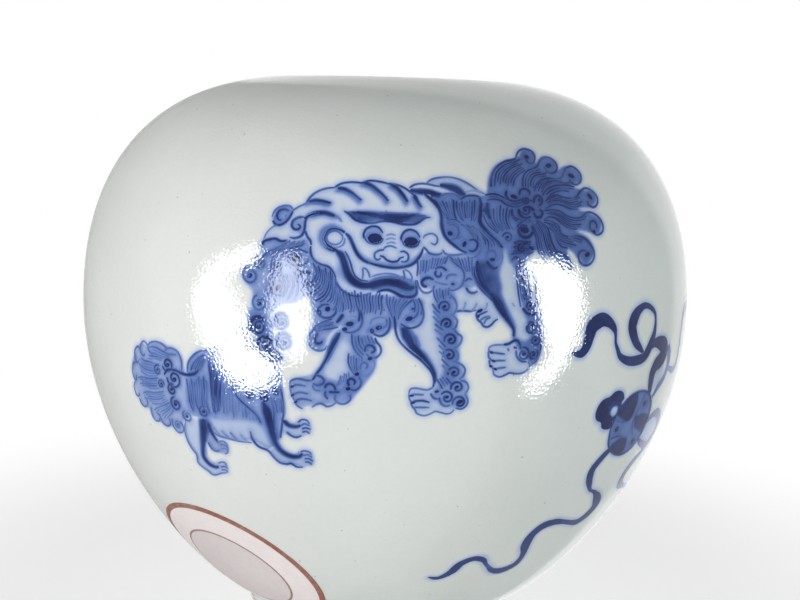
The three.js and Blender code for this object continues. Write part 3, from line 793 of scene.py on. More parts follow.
    line(0.8, 0.18, [(-2.85, 4.12), (-2.35, 4.15), (-1.95, 3.8), (-1.95, 3.3), (-2.3, 3), (-2.75, 3.05)])

    # Right cheek and the line of the head down to it
    line(0.65, 0.16, [(-0.25, 5.7), (0, 6.05), (0.7, 6.25), (1.25, 5.95), (1.35, 5.4), (1.05, 5), (0.6, 5.2)])
    line(0.72, 0.18,
         [(-0.25, 4.75), (0.05, 4.45), (0.35, 4.1), (0.8, 3.9), (1.4, 3.88), (1.85, 4.1), (1.95, 4.45)])
    line(0.72, 0.18, [(1.95, 4.4), (2.2, 4.05), (2.7, 3.87), (3.4, 3.85), (4.3, 4)])
    line(0.92, 0.38, [(-0.1, 11), (0.6, 10.4), (1.2, 9.8), (1.65, 9.1), (1.85, 8.3), (1.85, 7.4), (1.95, 6.7),
                      (2.2, 6), (2.7, 5.4), (3.3, 4.9), (4, 4.4), (4.7, 4.1)], taper=(0.05, 0.45))

    # Lobes of the back behind the head
    line(0.75, 0.22, [(-1.7, 11.6), (-1.1, 12.03), (-0.3, 12.2), (0.5, 12.13), (1.3, 11.95), (1.9, 11.9)])
    line(0.95, 0.75, [(-1.6, 11.35), (-0.7, 11.25), (0.3, 11.15), (1.3, 10.95), (2, 10.85)],
         taper=(0.3, 0.35))
    line(0.65, 0.2, [(0.2, 12.2), (0.8, 12.72), (1.6, 13), (2.8, 13.12), (3.8, 12.95), (4.8, 12.5),
                     (5.6, 11.95), (6.3, 11.4), (7, 11.05)])
    line(0.9, 0.9, [(1.8, 12.05), (2.7, 11.9), (3.5, 11.65), (4.2, 11.2), (4.7, 10.9)], taper=(0.4, 0.3))
    line(0.45, 0.16, [(4.8, 11.25), (5.4, 11.42), (6, 11.4), (6.7, 11.1)])
    line(0.7, 0.2, [(0.7, 10.5), (1.1, 10.7), (1.5, 10.6), (1.9, 10.75), (2.4, 11), (3.2, 11.03),
                    (3.8, 10.75), (4.1, 10.35)])
    line(0.6, 0.16, [(2, 10.2), (2.6, 10.58), (3.4, 10.58), (3.9, 10.3)])
    line(0.78, 0.22, [(4.1, 10.3), (4.6, 10.68), (5.4, 10.85), (6.2, 10.72), (6.5, 10.3)])

    # Mane on the near shoulder: hanging locks, their dividers and the curls that end them
    hair(0.84, 0.16, 6, [(1.1, 10.2), (1.6, 9.5), (2, 8.8), (2.6, 8.1), (3.3, 7.8)],
         [(3.1, 10.4), (3.2, 9.6), (3.3, 8.8), (3.4, 8.2), (3.8, 7.5)])
    hair(0.79, 0.16, 9, [(3.7, 10.2), (3.65, 9.3), (3.85, 8.5), (4.4, 7.8)],
         [(6.1, 10.5), (6.05, 9.4), (5.9, 8.4), (5.6, 7.6)])
    line(0.9, 0.22, [(3.3, 10.3), (3.3, 9.3), (3.42, 8.3), (3.8, 7.55)])
    line(0.85, 0.2, [(3.62, 10.1), (3.65, 9.2), (3.9, 8.3)])
    line(0.95, 0.42, [(6.4, 10.6), (6.52, 9.8), (6.45, 8.8), (6.32, 7.9), (6.5, 7.3), (7.1, 6.6), (7.8, 5.9),
                      (8.5, 5.2), (9, 4.7)], taper=(0.15, 0.3))
    hair(0.82, 0.16, 9, [(6.8, 9.9), (6.8, 8.8), (7.1, 7.6), (8, 6.7), (8.9, 6.1)],
         [(10.2, 9.6), (9.9, 8.4), (9.9, 7.6), (10.2, 7), (10.8, 6.6)])
    line(0.9, 0.9, [(7.3, 10), (7.25, 9), (7.6, 8)], taper=(0.5, 0.6))
    hair(0.79, 0.15, 8, [(5.1, 7.2), (5.9, 6.4), (6.2, 5.4), (6, 4.4)],
         [(6.7, 6.9), (7.6, 6.1), (8.5, 5.4), (9, 4.2)])
    hair(0.77, 0.14, 4, [(2.3, 8.2), (2.8, 7.9), (3.4, 7.9), (4.1, 7.5)],
         [(2.3, 7.4), (2.8, 7.4), (3.6, 7.1), (3.9, 6.5)])
    hair(0.77, 0.14, 5, [(4, 7.4), (4.6, 7.1), (5.2, 6.4), (5.6, 5.7)],
         [(5.2, 7.4), (6, 6.6), (6.3, 5.6), (6.2, 4.6)])
    dab(2.8, 6.3, 0.3, 0.24, -20, 0.92)
    line(0.65, 0.16, [(2.5, 7.25), (3.1, 7.35), (3.7, 7), (3.8, 6.3), (3.4, 5.7), (2.9, 5.6)])
    line(0.6, 0.14, [(3.1, 5.6), (3.6, 5.8), (4.1, 5.9)])
    dab(4.45, 5.1, 0.36, 0.2, 65, 0.95)
    line(0.85, 0.22, [(4.95, 4.42), (5.4, 4.28), (5.85, 4.6), (5.98, 5.2), (5.6, 5.6), (5, 5.55)])
    line(0.6, 0.18, [(5.3, 7), (6.1, 6.3), (6.42, 5.3), (6.25, 4.3), (5.7, 3.65), (4.9, 3.5)])
    line(0.65, 0.15, [(7, 3.5), (7.15, 4.15), (7.7, 4.4), (8.15, 4), (8.1, 3.5)])
    line(0.85, 0.26, [(7.05, 3.2), (7.45, 2.65), (8, 2.35), (8.5, 2.6)])
    dab(7.75, 3.35, 0.32, 0.16, 0, 0.9)
    line(0.5, 0.15, [(8.95, 4.6), (9, 3.8), (8.85, 3), (8.4, 2.4)])
    curl(9.65, 5.85, 0.65, 170, -1.2, 0.78, 0.18)
    line(0.96, 0.28, [(12.9, 7.5), (13, 6.7), (12.5, 6), (11.8, 5.85), (11.2, 6.2), (11.05, 6.8), (11.5, 7.3),
                      (12.2, 7.15)])
    dab(11.8, 6.75, 0.6, 0.38, -15, 0.97)

    # Haunch, hind leg with its fringe of curls, and hind paw
    line(0.95, 0.55, [(5.9, 3.2), (5.95, 2.2), (6.2, 1.2), (6.7, 0.3), (7.4, -0.5), (8, -1.3), (8.7, -2.3),
                      (9.4, -3.2), (10.05, -4), (10.45, -4.6), (10.5, -5.4)], taper=(0.1, 0.35))
    line(0.95, 0.8, [(7.6, -0.5), (8.1, -1.2), (8.8, -2.3), (9.5, -3.3)], taper=(0.5, 0.6))
    line(0.78, 0.2, [(5.35, 3.1), (5.35, 2.1), (5.7, 1.1), (6.3, 0.1), (7, -0.6), (7.7, -1.3)])
    hair(0.86, 0.15, 5, [(5.5, 2.6), (5.6, 1.8), (5.9, 1), (6.4, 0.2)],
         [(6.4, 3), (6.6, 2), (7, 1), (7.6, 0.2)])
    line(0.8, 0.3, [(10.1, 3.2), (10.6, 3.6), (11.2, 3.1), (11, 2.6), (10.5, 2.5)])
    for x, y, size, start in (
        (11.5, 1.2, 0.75, 60), (11.9, -0.6, 0.75, 40), (12.5, -1.9, 0.7, 30), (12.8, -4.2, 0.85, 70),
        (13.3, -5.9, 0.75, 60), (11.8, -7.5, 0.85, 100), (13.1, -7.6, 0.7, 50),
    ):
        curl(x, y, size, start, -1.25, 0.82, 0.2)
    hair(0.77, 0.15, 6, [(10.6, 2.6), (10.8, 1), (11, -0.8), (11.3, -2.2)],
         [(11.9, 2.4), (12.2, 0.6), (12.5, -0.8), (12.8, -2)])
    line(0.9, 0.32, [(11.5, -2.2), (12.1, -2.8), (12.8, -3), (13.4, -2.8)])
    line(0.85, 0.26, [(12.1, -4.2), (12.2, -4.8), (12.7, -5.1), (13.4, -5)])
    line(0.7, 0.2, [(12.7, 2), (13.2, 0.4), (13.3, -1.2), (13.8, -2.6), (14, -4.2), (14.1, -6.2),
                    (13.9, -7.8), (13.2, -8.8)])
    line(0.88, 0.26, [(9.25, -6.32), (9.9, -6.22), (10.4, -5.97), (10.95, -5.85), (11.3, -6.3), (11.5, -6.9)])
    line(0.6, 0.18, [(7.45, -6.8), (7.65, -6.5), (8.1, -6.33), (8.7, -6.3), (9.3, -6.35)])
    for toe in (
        [(7.4, -6.8), (7.8, -7.12), (8.5, -7.25), (9.5, -7.4)],
        [(7.5, -7.6), (7.95, -8.1), (8.8, -8.12), (9.6, -8.15)],
        [(7.65, -8.5), (8.2, -9.05), (8.9, -9), (9.7, -8.95)],
    ):
        line(0.72, 0.2, toe)
    line(0.72, 0.2, [(7.45, -7), (7.5, -7.5), (7.55, -7.9)])
    line(0.72, 0.2, [(7.6, -8), (7.7, -8.5), (7.95, -8.9)])
    line(0.7, 0.18, [(8.1, -9.1), (8.3, -9.75), (8.95, -10.03), (9.6, -9.87), (10.2, -9.62), (11, -9.75),
                     (11.8, -9.7), (12.45, -9.35), (12.72, -8.85), (12.45, -8.4)])
    for x, y in ((7.85, -7.15), (8.15, -8.15), (7.85, -8.75), (8.4, -9.1)):
        dab(x, y, 0.26, 0.15, -20, 0.9)
    line(0.75, 0.24, [(10.85, -7), (11.05, -7.8), (11.6, -8.3), (12.3, -8.4)])
    dab(10.75, -6.7, 0.25, 0.14, -20, 0.7)
    dab(9.9, -6.9, 0.22, 0.12, -60, 0.55)
    dab(10.35, -1.8, 0.3, 0.14, -50, 0.35)

    # Far foreleg under the belly
    line(0.7, 0.2, [(3.5, -2.45), (4.3, -2.38), (5.2, -2.45), (5.9, -2.3)], taper=(0.05, 0.4))
    for rib in ([(4.6, -1.4), (4.5, -1.9), (4.2, -2.4)], [(5.95, -1.5), (5.7, -2), (5.3, -2.4)],
                [(7.15, -1.5), (7.1, -1.9), (6.8, -2.4)]):
        line(0.42, 0.2, rib)
    line(0.82, 0.22, [(6.1, -2.35), (5.9, -2.85), (6.1, -3.4), (6.5, -3.75), (6.75, -4.1), (7.2, -4.25),
                      (7.7, -4), (8.1, -3.6), (8.5, -3.35)])
    for toe in ([(6, -2.95), (6.5, -2.75), (7.2, -2.45)], [(6.35, -3.5), (6.8, -3.2), (7.5, -3)],
                [(6.85, -3.9), (7.05, -3.4), (7.6, -3.15)]):
        line(0.72, 0.18, toe)
    dab(6.3, -2.4, 0.38, 0.18, 25, 0.95)
    dab(6.15, -3, 0.2, 0.15, 80, 0.9)

    # Chest hair between the chin and the forelegs
    hair(0.82, 0.16, 15, [(-9.6, -0.2), (-9.3, -1.4), (-9.1, -2.3), (-9.3, -3.1)],
         [(-4.7, -0.5), (-4.9, -1.4), (-4.8, -2.2), (-5, -3.1)])
    hair(0.77, 0.15, 8, [(-4.3, -0.6), (-4.2, -1.8), (-3.7, -2.9), (-3.4, -3.7)],
         [(-1.3, -1.1), (-2, -1.7), (-2.6, -2.4), (-2.9, -3.5)])
    hair(0.77, 0.15, 4, [(-1.4, -1.1), (-1.1, -1.8), (-1.2, -2.6)], [(-0.6, -1), (-0.3, -2), (-0.5, -3)])
    line(0.78, 0.2,
         [(-0.75, -1), (-0.3, -2), (-0.15, -3), (-0.5, -3.9), (-1.3, -4.33), (-2, -4.28), (-2.7, -3.9)])
    line(0.7, 0.18, [(-0.95, -1.2), (-0.72, -2), (-0.85, -2.8), (-1.3, -3.3)])
    dab(-1.75, -3.32, 0.42, 0.24, 20, 0.95)
    dab(-1.35, -2.2, 0.18, 0.14, 20, 0.75)
    line(0.85, 0.24, [(-7.45, -2.2), (-7.25, -3), (-7.35, -3.8)])
    line(0.75, 0.2,
         [(-7.15, -2.4), (-7, -3.2), (-7, -4), (-7.4, -4.7), (-8.1, -5.05), (-8.8, -5), (-9.2, -4.7)])
    line(0.5, 0.14, [(-8.9, -4.3), (-8.8, -3.6), (-8.2, -3.2), (-7.6, -3.3)])
    dab(-8.35, -4.1, 0.45, 0.26, 10, 0.97)
    dab(-8.9, -4.72, 0.3, 0.22, 10, 0.9)
    line(0.78, 0.2, [(-3.95, -3.2), (-3.85, -4), (-4.1, -4.8), (-4.7, -5.3), (-5.4, -5.25), (-5.95, -4.8)])
    line(0.5, 0.14, [(-6.1, -4.1), (-5.8, -3.5), (-5.1, -3.25), (-4.4, -3.3)])
    line(0.65, 0.16, [(-4.3, -3.4), (-4.2, -4), (-4.6, -4.4), (-5.1, -4.4)])
    dab(-5.1, -4.4, 0.36, 0.22, 20, 0.95)
    dab(-5.85, -4.8, 0.22, 0.28, 20, 0.88)

    # Mane on the far side of the head, left of the mouth
    hair(0.79, 0.17, 7, [(-15.3, 4.9), (-16.6, 4.1), (-18.3, 3.2), (-18.9, 2.2)],
         [(-13.3, 5), (-14, 4.4), (-15.4, 3.9), (-16.2, 2.6)])
    line(0.75, 0.2, [(-13.2, 3.6), (-14.2, 3.95), (-15.2, 3.6), (-15.6, 2.9), (-15.2, 2.3), (-14.5, 2.1),
                     (-13.6, 2.3), (-13.1, 2.9)])
    line(0.7, 0.18, [(-13.9, 3.2), (-14.5, 3.45), (-15.1, 3.1), (-15, 2.7)])
    dab(-14.6, 3, 0.42, 0.28, 10, 0.97)
    hair(0.84, 0.17, 8, [(-12.6, 2.5), (-12.2, 1.4), (-12.7, 0.4), (-13.6, -0.1)],
         [(-10.7, 2), (-10.5, 0.4), (-11, -1.2), (-12.7, -2.4)])
    hair(0.77, 0.16, 6, [(-10.4, 1.5), (-10.3, 0.2), (-10.5, -1.2), (-11.2, -2)],
         [(-9.6, -0.2), (-9.4, -1.2), (-9.4, -2.4), (-9.9, -3.5)])
    line(0.8, 0.26, [(-14.6, 1.9), (-14, 1.4), (-13.3, 1.45), (-12.75, 1.25)])
    dab(-13.4, 0.25, 0.25, 0.2, 60, 0.85)
    dab(-14.2, 1.1, 0.22, 0.16, 30, 0.8)
    line(0.8, 0.24, [(-9.9, -2.3), (-10, -3), (-10.6, -3.5), (-11.4, -3.5), (-11.9, -3.1), (-11.95, -2.6),
                     (-11.4, -2.1), (-10.7, -2.05)])
    dab(-10.87, -2.55, 0.32, 0.26, 30, 0.97)
    dab(-11.8, -2.95, 0.3, 0.22, -50, 0.85)
    hair(0.79, 0.17, 6, [(-10.3, -3.6), (-11.4, -4.1), (-12.4, -4.8), (-12.8, -5.6)],
         [(-9.6, -4.5), (-10.6, -4.75), (-11.4, -4.9), (-11.8, -5.2)])
    line(0.6, 0.2, [(-12.8, -5.2), (-13, -6.3), (-12.6, -7), (-11.9, -7.3), (-11.2, -7.15), (-10.8, -6.6)])
    line(0.8, 0.34, [(-11.9, -5.3), (-12.25, -5.9), (-12.1, -6.4), (-11.7, -6.45), (-11.4, -6.2)])
    line(0.92, 0.34, [(-9.1, -3.05), (-9.4, -3.5), (-9.85, -4.05)])
    for x, y, size in ((-20.1, 0.7, 1.15), (-18.9, -2.4, 1), (-16.6, -0.4, 1.25), (-18.9, 2.2, 0.8),
                       (-16.9, 2, 0.8)):
        curl(x, y, size, 110, 1.3, 0.7, 0.2)
    hair(0.73, 0.16, 6, [(-17.9, 1.6), (-17.2, 0.6), (-17.9, -0.8), (-18.2, -1.6)],
         [(-14.9, 1.4), (-14.4, 0), (-14.6, -1.4), (-15.2, -2)])
    for x, y, size, ink in ((-19, -5, 1, 0.95), (-18.1, -7.2, 1, 0.95), (-16.2, -4.4, 0.9, 0.6),
                            (-15.8, -6.6, 0.95, 0.6)):
        line(ink, 0.5,
             [(x - size, y - 0.5), (x - 0.8 * size, y + 0.6), (x, y + 1), (x + 0.8 * size, y + 0.6)])
        curl(x, y, size, 150, 1.4, ink, 0.26)
    hair(0.9, 0.3, 5, [(-18.9, -7.8), (-18, -8.6), (-17, -9.2)], [(-17.6, -6.9), (-16.6, -7.9), (-15.6, -9)])

    # Curls under the right cheek, down to the near foreleg
    hair(0.79, 0.15, 11, [(-0.9, 3.3), (-0.85, 2.3), (-0.95, 1.4)], [(2.6, 3.8), (2.3, 3.2), (2, 2.6)])
    hair(0.79, 0.15, 7, [(2.7, 3.7), (3.5, 2.9), (4.2, 2.3)], [(5.3, 3.7), (5.3, 2.5), (5.4, 1.3)])
    line(0.9, 0.3, [(0.2, 0.3), (-0.2, 0.35), (-0.42, 0.75), (-0.1, 1.15), (0.4, 1.27), (0.95, 1.05)],
         taper=(0.1, 0.3))
    line(0.75, 0.2, [(-0.95, 1), (-0.75, 0.3), (-0.3, -0.3), (0.3, -0.4), (0.8, -0.1), (1, 0.4)])
    line(0.88, 0.26, [(1.1, 2.2), (1.4, 2.45), (1.9, 2.45), (2.4, 2.1)])
    line(0.82, 0.22, [(1.2, 2.1), (1.1, 1.65), (1.4, 1.4), (1.75, 1.55), (1.7, 1.9)])
    line(0.7, 0.18, [(2.35, 1.1), (2.5, 1.5), (3, 1.65), (3.55, 1.6)])
    line(0.68, 0.18,
         [(2.7, 3.4), (3.5, 2.8), (4.15, 2.3), (4.42, 1.6), (4.3, 0.8), (3.9, 0.2), (3.2, -0.1), (2.6, 0)])
    dab(3.1, 0.6, 0.2, 0.14, 0, 0.75)
    line(0.6, 0.15, [(1, 0.9), (1.5, 0.7), (2, 0.6), (2.5, 0.5)])
    line(0.7, 0.18, [(4.45, 0.9), (4.9, 1.2), (5.4, 1.1)])
    line(0.8, 0.24, [(4.6, 0.2), (5, -0.28), (5.5, -0.4), (6, -0.2)])
    hair(0.77, 0.14, 6, [(0.9, 0.1), (1, -0.7), (1.4, -1.5)], [(2.7, 0.2), (2.6, -0.3), (2.6, -0.9)])

    # Near foreleg: dark back edge, a column of curls on its front, and the paw
    line(0.85, 0.24, [
        (-3.4, -3.05), (-3.3, -3.9), (-3.2, -4.8), (-2.85, -5.7), (-2.15, -6.5), (-1.3, -7.2), (-0.4, -7.9),
        (0.4, -8.7), (0.9, -9.3), (1.2, -10), (1.27, -10.7), (1.15, -11.1),
    ], taper=(0.05, 0.1))
    line(0.93, 0.85, [(-2.5, -4.4), (-2.1, -5.3), (-1.4, -6.2), (-0.6, -7.1), (0.25, -8), (0.95, -8.9),
                      (1.3, -9.7), (1.4, -10.5)], taper=(0.12, 0.75))
    line(0.6, 1, [(-1.6, -4.6), (-1.2, -5.6), (-0.5, -6.6)], taper=(0.5, 0.6))
    for x, y, size, start in (
        (2.25, -1.95, 0.72, 200), (2.5, -3.85, 0.68, 200), (3, -5.65, 0.78, 200), (2.9, -7.4, 0.8, 200),
        (3.55, -9.4, 0.75, 200), (4, -11.15, 0.78, 200), (2.85, -12.35, 0.8, 150), (4.35, -12.95, 0.85, 200),
    ):
        curl(x, y, size, start, -1.2, 0.85, 0.22)
    for lobe in (
        [(2.8, -0.6), (3.4, -1.2), (3.6, -2), (3.3, -2.7), (2.9, -2.9)],
        [(3.2, -2.9), (3.7, -3.5), (3.5, -4.3), (3.1, -4.5)],
        [(3.3, -4.4), (3.7, -4.9), (4.25, -5.3), (4.2, -5.9), (3.8, -6.4), (3.2, -6.6)],
        [(3.4, -6.7), (3.9, -7.2), (3.85, -7.9), (3.3, -8.2)],
        [(3.6, -8.15), (4.4, -8.5), (4.8, -9.1), (4.6, -9.8), (4.1, -10.2)],
        [(4.3, -10.3), (5, -10.55), (5.3, -11.2), (5, -11.9)],
        [(4.9, -11.9), (5.3, -12.6), (5.2, -13.3), (4.6, -13.75), (3.9, -13.6)],
    ):
        line(0.65, 0.17, lobe)
    hair(0.73, 0.16, 5, [(0.8, -1.6), (1.2, -2.2), (1.8, -2.7)], [(1, -4.4), (1.6, -4.8), (2.3, -5.2)])
    hair(0.69, 0.16, 5, [(1.4, -5.4), (2, -6), (2.5, -6.5)], [(2, -8.4), (2.6, -9), (3.1, -9.4)])
    hair(0.73, 0.16, 4, [(1.5, -10), (1.9, -10.6), (2.3, -11.3)], [(2.5, -9.8), (3, -10.4), (3.4, -10.8)])
    line(0.62, 0.18,
         [(1.2, -11.1), (0.6, -11.4), (-0.1, -11.32), (-0.8, -11.2), (-1.35, -11.35), (-1.5, -11.9)])
    for toe in ([(-1.4, -12.1), (-0.8, -11.95), (0.2, -12)], [(-0.9, -13.5), (-0.2, -13.5), (0.9, -13.5)]):
        line(0.62, 0.18, toe)
    line(0.85, 0.22, [(-1.25, -12.95), (-0.7, -12.75), (0.1, -12.7), (0.9, -12.9)])
    line(0.65, 0.17, [
        (-1.5, -11.9), (-1.45, -12.4), (-1.2, -12.9), (-1.1, -13.3), (-0.75, -13.75), (-0.45, -14.25),
        (0.3, -14.5), (1, -14.3), (1.6, -14), (2.2, -14.12), (2.9, -14.3), (3.4, -14.2), (3.8, -13.8),
    ])
    dab(-1.2, -12.1, 0.28, 0.13, 10, 0.85)
    dab(-1, -12.95, 0.28, 0.13, 20, 0.9)
    line(0.7, 0.2, [(0.95, -11.8), (1.3, -12.35), (1.9, -12.55)])
    line(0.78, 0.24, [(1.95, -12.3), (2.2, -13), (2.7, -13.35), (3.3, -13.25)])
    dab(1.65, -11.6, 0.26, 0.14, 10, 0.85)
    dab(4.4, -12.85, 0.36, 0.24, 20, 1)

    # Left foreleg: shaded outer edge, fringe and paw
    line(0.9, 0.72, [(-9.6, -5.2), (-9.95, -6), (-10.4, -7), (-10.8, -8), (-11.1, -8.7)], taper=(0.25, 0.5))
    line(0.9, 0.3, [(-9.4, -5.1), (-9.9, -6.2), (-10.7, -7.7), (-11.4, -9.1), (-12, -10), (-12.45, -10.75)])
    hair(0.76, 0.15, 7, [(-8.1, -5.2), (-8, -6.3), (-7.5, -7.3), (-6.8, -7.9)],
         [(-6, -5.3), (-5.8, -5.8), (-5.6, -6.1), (-5.3, -6.4)])
    hair(0.76, 0.15, 6, [(-8.4, -7.4), (-8.4, -8.4), (-8.1, -9.2), (-7.6, -9.9)],
         [(-6.9, -7.7), (-6.9, -8.4), (-7, -9), (-7.2, -9.5)])
    hair(0.69, 0.15, 5, [(-9.2, -10), (-9.4, -10.8), (-9.8, -11.4)],
         [(-8.4, -9.4), (-8.3, -10), (-8.3, -10.6)])
    line(0.75, 0.2,
         [(-5.5, -5.5), (-5.3, -6), (-4.9, -6.5), (-4.8, -7.1), (-5.2, -7.7), (-5.9, -7.85), (-6.4, -7.4)])
    line(0.85, 0.26, [(-6.6, -7.2), (-6.5, -6.6), (-6.1, -6.4), (-5.6, -6.6), (-5.5, -7), (-5.9, -7.3)])
    line(0.65, 0.22, [(-7.1, -9), (-6.9, -8.5), (-6.5, -8.4), (-6.25, -8.7), (-6.4, -9.1)])
    line(0.5, 0.15, [(-5.6, -7.9), (-5.45, -8.7), (-5.8, -9.5), (-6.4, -9.95), (-7.1, -9.8)])
    line(0.72, 0.2, [(-7.2, -10), (-6.9, -10.7), (-7.1, -11.3), (-7.6, -11.65), (-8.2, -11.55)])
    line(0.88, 0.26, [(-8.25, -11.2), (-8.4, -10.6), (-8, -10.3), (-7.6, -10.6), (-7.7, -11)])
    for x, y in ((-7.4, -9.75), (-6, -7.9), (-8.35, -11.5)):
        dab(x, y, 0.26, 0.2, 20, 0.95)
    line(0.9, 0.3, [(-11, -11.6), (-10.8, -11.15), (-10.3, -11.05), (-9.9, -11.35), (-9.75, -11.9)])
    line(0.7, 0.22, [(-10.9, -11.9), (-10.95, -12.4), (-10.6, -12.9)])
    line(0.68, 0.2,
         [(-9.8, -12.2), (-9.78, -12.9), (-9.3, -13.33), (-8.6, -13.3), (-8.05, -12.8), (-8.1, -12.2)])
    line(0.92, 0.26, [(-10.5, -12), (-9.9, -12), (-9.3, -11.95)])
    line(0.75, 0.26,
         [(-12.1, -10.15), (-11.5, -10.25), (-11.1, -10.7), (-11.35, -11.15), (-12, -11.3), (-12.4, -11.1)])
    line(0.62, 0.18, [(-12.45, -11.3), (-12.15, -11.85), (-11.5, -11.95)])
    line(0.68, 0.2,
         [(-12.5, -10.8), (-13.2, -10.82), (-13.9, -10.7), (-14.5, -10.75), (-15, -11.05), (-15.1, -11.5)])
    for toe in (
        [(-15, -11.9), (-14.7, -11.55), (-14, -11.42), (-13.2, -11.5)],
        [(-14.8, -12.75), (-14.4, -12.45), (-13.8, -12.3), (-12.9, -12.4)],
        [(-14.4, -13.4), (-14, -13.15), (-13.4, -13.05), (-12.4, -13.2)],
    ):
        line(0.68, 0.2, toe)
    line(0.62, 0.17,
         [(-15.1, -11.5), (-15, -12.1), (-14.85, -12.7), (-14.5, -13.3), (-14.2, -13.9), (-13.5, -14.3)])
    line(0.62, 0.19,
         [(-12.45, -14), (-11.9, -13.6), (-11.4, -13.45), (-10.7, -13.75), (-10.1, -13.6), (-9.6, -13.2)])
    for x, y in ((-14.8, -11.65), (-14.75, -12.7), (-14.35, -13.5)):
        dab(x, y, 0.24, 0.14, 40, 0.85)

    # Tail: a hub of small curls, and seven long locks that stream away from it
    line(0.85, 0.3, [(7.85, 11.9), (7.95, 12.9), (8.3, 13.9), (9, 14.8), (10, 15.4), (11, 15.65),
                     (11.6, 16.05)], taper=(0.05, 0.15))
    locks = (
        (8, [(8.3, 12), (8.6, 13.6), (9.7, 14.8), (11.4, 15.4), (12.3, 15.9)],
         [(10.6, 12), (10.9, 12.9), (11.5, 13.6), (12.4, 14.2), (13, 14.6)]),
        (5, [(11.9, 11.7), (12, 13), (12.7, 14.1), (14, 14.5), (14.7, 15.1)],
         [(13.3, 11.5), (13.4, 12.6), (14.2, 13.3), (15.2, 13.4), (16, 13.6)]),
        (5, [(13.4, 11.4), (14, 12.6), (15.4, 13.1), (17.2, 13), (18, 13.5)],
         [(14.2, 10.9), (14.9, 12), (16.4, 12.5), (18.4, 12.3), (19.2, 12.3)]),
        (3, [(14.4, 10.8), (15.2, 11.7), (16.8, 12.2), (18.8, 12.1), (19.4, 12)],
         [(15, 10.4), (16, 11.2), (17.4, 11.5), (18.8, 11.3), (19.3, 11.5)]),
        (6, [(14.8, 10.2), (16.2, 10.9), (18, 10.5), (19.4, 10.7), (20.6, 11.4)],
         [(14.6, 9.2), (16.4, 9.8), (18.4, 9.2), (19.8, 9.2), (20.9, 9.8)]),
        (6, [(14.5, 9), (16.4, 9), (18, 8.2), (19.8, 8), (21.2, 8.5)],
         [(14.4, 8), (15.8, 8.2), (17.6, 7), (19.4, 6.7), (20.6, 7.1)]),
        (6, [(14.4, 7.9), (16.2, 7.4), (17, 6), (18.6, 5.7), (20.4, 5.2)],
         [(13.8, 7.3), (15.6, 6.6), (16.4, 5), (17.6, 4.5), (19, 4.3)]),
        (8, [(13.4, 7.8), (14.8, 7), (15.3, 5.4), (16, 4.2), (17, 3.7)],
         [(12.6, 7.4), (13.2, 6), (13.4, 4.8), (13.8, 3.6), (14.4, 2.9)]),
    )
    for count, one, other in locks:
        hair(0.9, 0.19, count, one, other, taper=(0.15, 0.15))
    for tip in (
        [(11.3, 15.8), (11.75, 16.7), (12.4, 17.22), (13.1, 17.22), (13.8, 16.8), (14.02, 16.1), (13.8, 15.4),
         (13.3, 15.12), (12.85, 15.4), (12.75, 15.9)],
        [(13.3, 14.3), (14.15, 14.75), (14.6, 15.5), (15.3, 16.03), (16.1, 16), (16.8, 15.5), (17.08, 14.8),
         (16.8, 14.1), (16.1, 13.78), (15.45, 14.05), (15.25, 14.65)],
        [(16.6, 13), (17.4, 13.2), (17.9, 13.8), (18.4, 14.5), (19.3, 14.78), (20.2, 14.3), (20.68, 13.5),
         (20.5, 12.7), (19.8, 12.27), (19.1, 12.4), (18.65, 12.95)],
        [(18.6, 10.45), (19.5, 10.7), (20.2, 11.4), (21, 11.78), (21.9, 11.6), (22.7, 11), (23, 10.3),
         (22.7, 9.6), (22, 9.33), (21.35, 9.6), (21.2, 10.15)],
        [(18.8, 8.05), (19.9, 8.1), (20.9, 8.7), (21.9, 8.6), (22.9, 8), (23.45, 7.1), (23.3, 6.3),
         (22.5, 5.93), (21.7, 6.2), (21.25, 6.8), (21.4, 7.5), (22, 7.6), (22.4, 7.1), (22.3, 6.7)],
        [(17.8, 5.75), (19, 5.88), (20.2, 5.6), (21.1, 4.9), (21.68, 4), (21.6, 3.1), (20.9, 2.48),
         (20, 2.42), (19.35, 2.9), (19.2, 3.6), (19.6, 4.1), (20.3, 4.1), (20.75, 3.75)],
        [(15.6, 4.1), (16.6, 4), (17.4, 3.5), (18, 2.8), (18.2, 2), (17.7, 1.65), (17.1, 1.9)],
    ):
        line(0.78, 0.24, tip, taper=(0.1, 0.08))
    for x, y, long, short, angle in (
        (12.85, 16.05, 0.35, 0.26, -30), (15.8, 14.85, 0.45, 0.28, 10), (19.1, 13.45, 0.5, 0.28, -20),
        (21.7, 10.7, 0.5, 0.24, -45), (21.85, 6.3, 0.3, 0.2, -40), (20.6, 3.65, 0.4, 0.24, 20),
        (17.05, 2.3, 0.42, 0.22, -30),
    ):
        dab(x, y, long, short, angle, 0.97)
    hair(
        0.87, 0.19, 3,
        [(7, 10.9), (7.9, 11.05), (8.9, 10.85), (9.7, 10.3), (10.5, 10.1), (11.3, 10.3), (12.2, 10.5),
         (13.2, 10.1)],
        [(7, 10.2), (7.9, 10.4), (8.8, 10.3), (9.5, 9.8), (10.4, 9.5), (11.3, 9.6), (12.2, 9.9), (13.1, 9.5)],
    )
    line(0.9, 0.28, [(9.75, 11.5), (9.65, 10.9), (9.9, 10.4), (10.5, 10.15), (11.2, 10.2)])
    dab(10.65, 10.72, 0.45, 0.22, -20, 1)
    line(0.88, 0.22, [(11.35, 10.9), (11.5, 11.5), (12.1, 11.75), (12.7, 11.4), (12.7, 10.9)])
    line(0.95, 0.26, [(13.2, 10), (13.35, 10.6), (13.85, 10.85), (14.3, 10.5), (14.3, 10), (13.9, 9.6)])
    dab(13.95, 10.3, 0.2, 0.2, 0, 0.85)
    line(0.97, 0.3, [(11.15, 9.2), (11.35, 8.5), (12, 8.1), (12.7, 8.3)])
